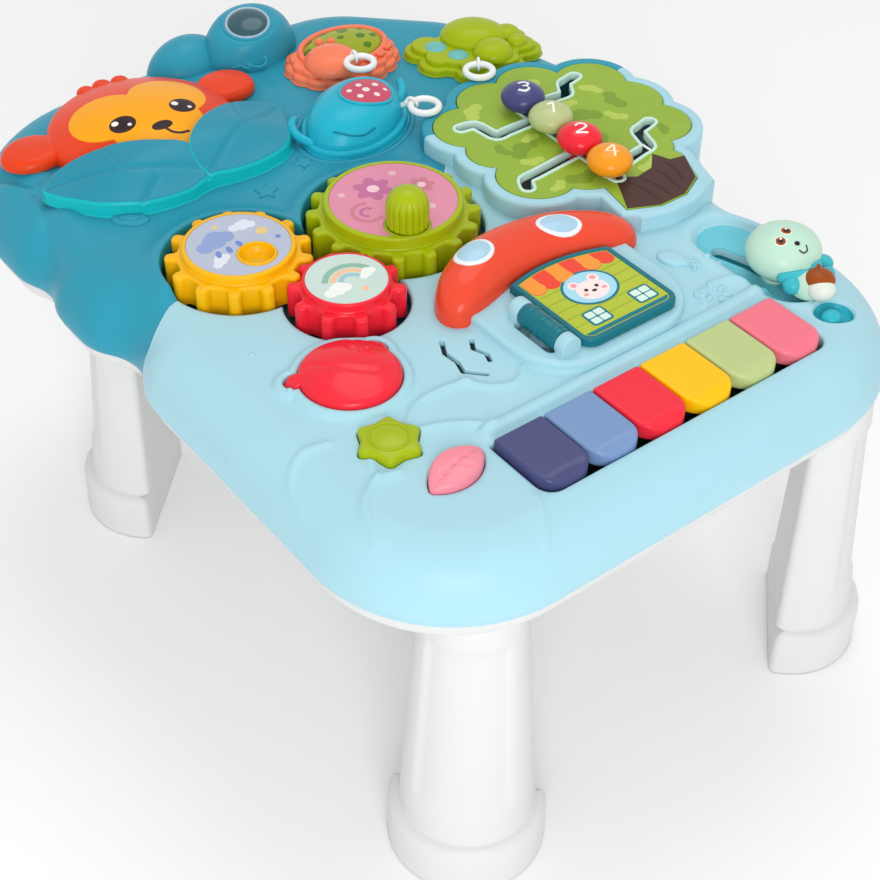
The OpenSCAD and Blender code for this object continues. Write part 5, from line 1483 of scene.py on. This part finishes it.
def on_lens(profile, n=96):
    """Profile [r, height] turned about the lens's leaning axis."""
    a = math.radians(LENS_TILT)
    w = np.array([*(math.sin(a) * tilt_way), math.cos(a)])
    u = unit(np.cross([0, 0, 1.0], w))
    v = np.cross(w, u)
    t = turns(n)[:, None]
    return rings_mesh([LENS + w * h + r * (u * np.cos(t) + v * np.sin(t)) for r, h in profile])


part = Part().add(rings_mesh(pod_rings))
part.add(on_lens([(15.4, 0.0), (15.2, 0.8), (14.6, 1.2), (13.9, 1.1), (13.6, 0.6), (13.5, -2)]))
part.add(egg(-15.5, 215.5, -9, (27.5, 20.5, 23.5), np.linspace(0.0, QUARTER, 22), 80, 8))
BOW_AT = np.array([4.6, 186.2, 7.4])
bow_u, bow_v = np.array([0.79, -0.61, 0.0]), np.array([0.36, 0.47, 0.81])
bow_n = np.cross(bow_u, bow_v)
a = np.linspace(0.15, 2 * np.pi - 0.15, 40)
# The bow's two loops and two tails
for reach, half, low in ((15, 5.2, 0), (-15, 5.2, 0), (6, 2.6, 3.2), (-6, 2.6, 3.2)):
    bx = reach * (1 - np.cos(a)) / 2
    by = half * np.sin(a) * np.sin(a / 2) ** 0.8 - low
    loop = np.outer(bx, bow_u) + np.outer(by, bow_v) - np.outer(bx ** 2 / 62, bow_n)
    part.add(tube(BOW_AT + loop, 1.0, True, 8))
part.done("lamp_pod", [teal])
bulge = [(12.1, -0.2)]
bulge += [(12.1 * math.cos(a), 0.4 + 3.4 * math.sin(a)) for a in np.linspace(0.05, QUARTER, 12)]
part = Part().add(on_lens([(13.7, 0.4), (13.6, 1.0), (13.1, 1.5), (12.4, 1.4), (11.9, 0.9), (11.8, 0)]), 1)
part.add(on_lens(bulge)).done("lamp_lens_cap", [plastic("#2f5560", 0.08, 0.15, coat=1.0),
                                                plastic("#a9c3d4", 0.15, 0.02)], "table", "lamp_lens")


def raised(shape, step, up, foot, r, steps, mesh_step=1.4):
    """Relief that follows the deck."""
    return form(dense(shape, step) if step else shape, foot, above(deck_height, up), r=r, steps=steps,
                step=mesh_step)


part = Part()
for x, y, r, turn in ((-22.5, 80, 7.0, 20), (-55.5, 68, 7.2, 60)):
    a, k = np.radians(turn + 36 * np.arange(10)), np.where(np.arange(10) % 2, 0.5, 1.0) * r
    star = dense(np.column_stack([x + k * np.cos(a), y + k * np.sin(a)]), 1.2)
    part.add(raised(star, 1.0, 0.9, -3, 0.7, 3))
part.add(raised(circle(-128, 88.6, 10.2, 48, 5.4, -38), 1.6, 1.9, -3, 1.7, 5, 1.6))
part.add(raised(circle(-128, 88.6, 5.6, 32, 2.4, -38), 1.4, 2.7, -3, 0.8, 4, 1.6))
whale_bed = move(circle(0, 0, 40.8, 96, 30.8), *WHALE, WHALE_TURN)
part.add(tube(drape(whale_bed, deck_height, -0.3), 1.9, True, 10, 0.8)).done("back_reliefs", [teal])

FISH_HALF = [(8.5, 3.6), (4, 5.4), (-1, 5.2), (-5.5, 2.4), (-8, 1.2), (-12, 4.6), (-13, 2.6)]
fish = smooth_path([(11, 0), *FISH_HALF, (-11.4, 0), *[(x, -y) for x, y in FISH_HALF[::-1]]], 4, True)
part = Part().add(raised(move(fish * 0.95, 78.5, -111.8, 118), 1.2, 2.3, -1, 2.0, 6))
part.add(raised(circle(68.5, -140.5, 3.6, 30), 1.2, 1.1, -1, 0.9, 3))
for k in range(6):
    part.add(raised(move(circle(5.6, 0, 2.6, 20, 1.3), 75.2, -144.5, 60 * k + 15), 0, 1.0, -1, 0.6, 3, 1.0))
for x, y, r in ((93.4, -119.4, 2.0), (96.6, -125.4, 1.6), (99.2, -131.2, 1.3), (-140.5, -80.7, 1.8),
                (-138.4, -45, 1.6), (86, -121, 2.2)):
    part.add(ball(x, y, height_at(deck_height, x, y) - 0.1, r, 0.7, 24, 8))
part.done("front_reliefs", [sky])
# Dark teal floors under the squirrel's slot and the grille slots: painted shade seen through the openings.
part = Part().add(form(thick([(115, -150), (112.5, -132), (107.5, -116)], 8), -12, -9.5, r=0.5, steps=2,
                       bottom=True))
part.add(form(box(-70, -129, -40, -88, 4, 4), -4.6, -3.9, r=0.2, steps=2, bottom=True))
part.done("opening_painted_shade_floors", [plastic("#106b78", 0.35, 0.06)])
Part().add(ball(110, -191.5, -3.2, 5.4, 0.9, 32, 10)).done("cup_ball", [plastic("#35b6c6", 0.2, 0.05)])

# ---------- finishes of the pieces that keep their CAD shape ----------

FINISHES = {
    # The gear tray's dark teal is painted shade: the deep gear wells seen from above.
    "gear_tray": plastic("#17525f", 0.4, 0.08), "battery_cover": white,
    "power_switch": plastic("#2c2e33", 0.35, 0.08),
    "batteries": plastic("#33373c", 0.3, 0.1, metal=0.3), "circuit_board": plastic("#256b45", 0.4, 0.12),
    "key_board": plastic("#256b45", 0.4, 0.12), "button_switches": plastic("#26282c", 0.45, 0.1),
    "key_contacts": plastic("#4b4e52", 0.6, 0.1), "speaker": plastic("#202226", 0.5, 0.1)}
steel = plastic("#b9bcc0", 0.25, 0.06, metal=1.0)
FINISHES.update((name, steel) for name in ("base_screws", "cover_screw", "key_rod", "door_pin"))
for name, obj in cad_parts.items():
    if name in FINISHES:
        for slot in obj.material_slots:
            slot.material = FINISHES[name]

# ---------- stage, lights and camera ----------

FLOOR_HALF, FLOOR_Z = 4.0, -0.0005
WORLD_LIGHT = 0.68


def place(name, data):
    obj = bpy.data.objects.new(name, data)
    bpy.context.scene.collection.objects.link(obj)
    return obj


mesh = bpy.data.meshes.new("floor")
mesh.from_pydata([(x * FLOOR_HALF, y * FLOOR_HALF, FLOOR_Z) for x, y in ((-1, -1), (1, -1), (1, 1), (-1, 1))],
                 [], [(0, 1, 2, 3)])
mesh.materials.append(plastic("#fbfbfb", 0.9, 0.002, grain=0.0))
obj = place("floor", mesh)

for name, at, size, power in (("main_light", (-1.0, -1.5, 1.0), 1.0, 17.5),
                              ("top_light", (0.5, 0.5, 1.9), 1.2, 8.0)):
    lamp = bpy.data.lights.new(name, "AREA")
    lamp.shape, lamp.size, lamp.energy = "DISK", size, power
    obj = place(name, lamp)
    obj.location = at
    obj.rotation_euler = (Vector((0, 0, 0.2)) - Vector(at)).to_track_quat("-Z", "Y").to_euler()

# The world is seen white, and lights the table at a plain level
world = bpy.data.worlds.new("studio")
bpy.context.scene.world = world
world.use_nodes = True
tree = world.node_tree
tree.nodes.clear()
out = add_node(tree, "OutputWorld")
seen = add_node(tree, "Background", [("Color", (1, 1, 1, 1)), ("Strength", 1.0)])
lit = add_node(tree, "Background", [("Color", (1, 1, 1, 1)), ("Strength", WORLD_LIGHT)])
rays, most, both, mix = (add_node(tree, kind) for kind in ("LightPath", "Math", "Math", "MixShader"))
most.operation = both.operation = "MAXIMUM"
for source, name, target, into in (
        (rays, "Is Camera Ray", most, 0), (rays, "Is Transmission Ray", most, 1), (most, "Value", both, 0),
        (rays, "Is Glossy Ray", both, 1), (both, "Value", mix, "Fac"), (lit, "Background", mix, 1),
        (seen, "Background", mix, 2), (mix, "Shader", out, "Surface")):
    tree.links.new(source.outputs[name], target.inputs[into])

lens = bpy.data.cameras.new("camera")
lens.lens, lens.sensor_width, lens.clip_start = 70.33, 36.0, 0.01
camera = place("camera", lens)
# Columns: right, up, back and the place, in metres
columns = [(0.790776, -0.612004, 0.011193, 0), (0.401701, 0.532665, 0.744919, 0),
           (-0.461855, -0.584568, 0.667061, 0), (-0.46594, -0.60666, 0.75325, 1)]
camera.matrix_world = Matrix(columns).transposed()
bpy.context.scene.camera = camera
bpy.context.scene.view_settings.view_transform = "Standard"

low, high = cad_box
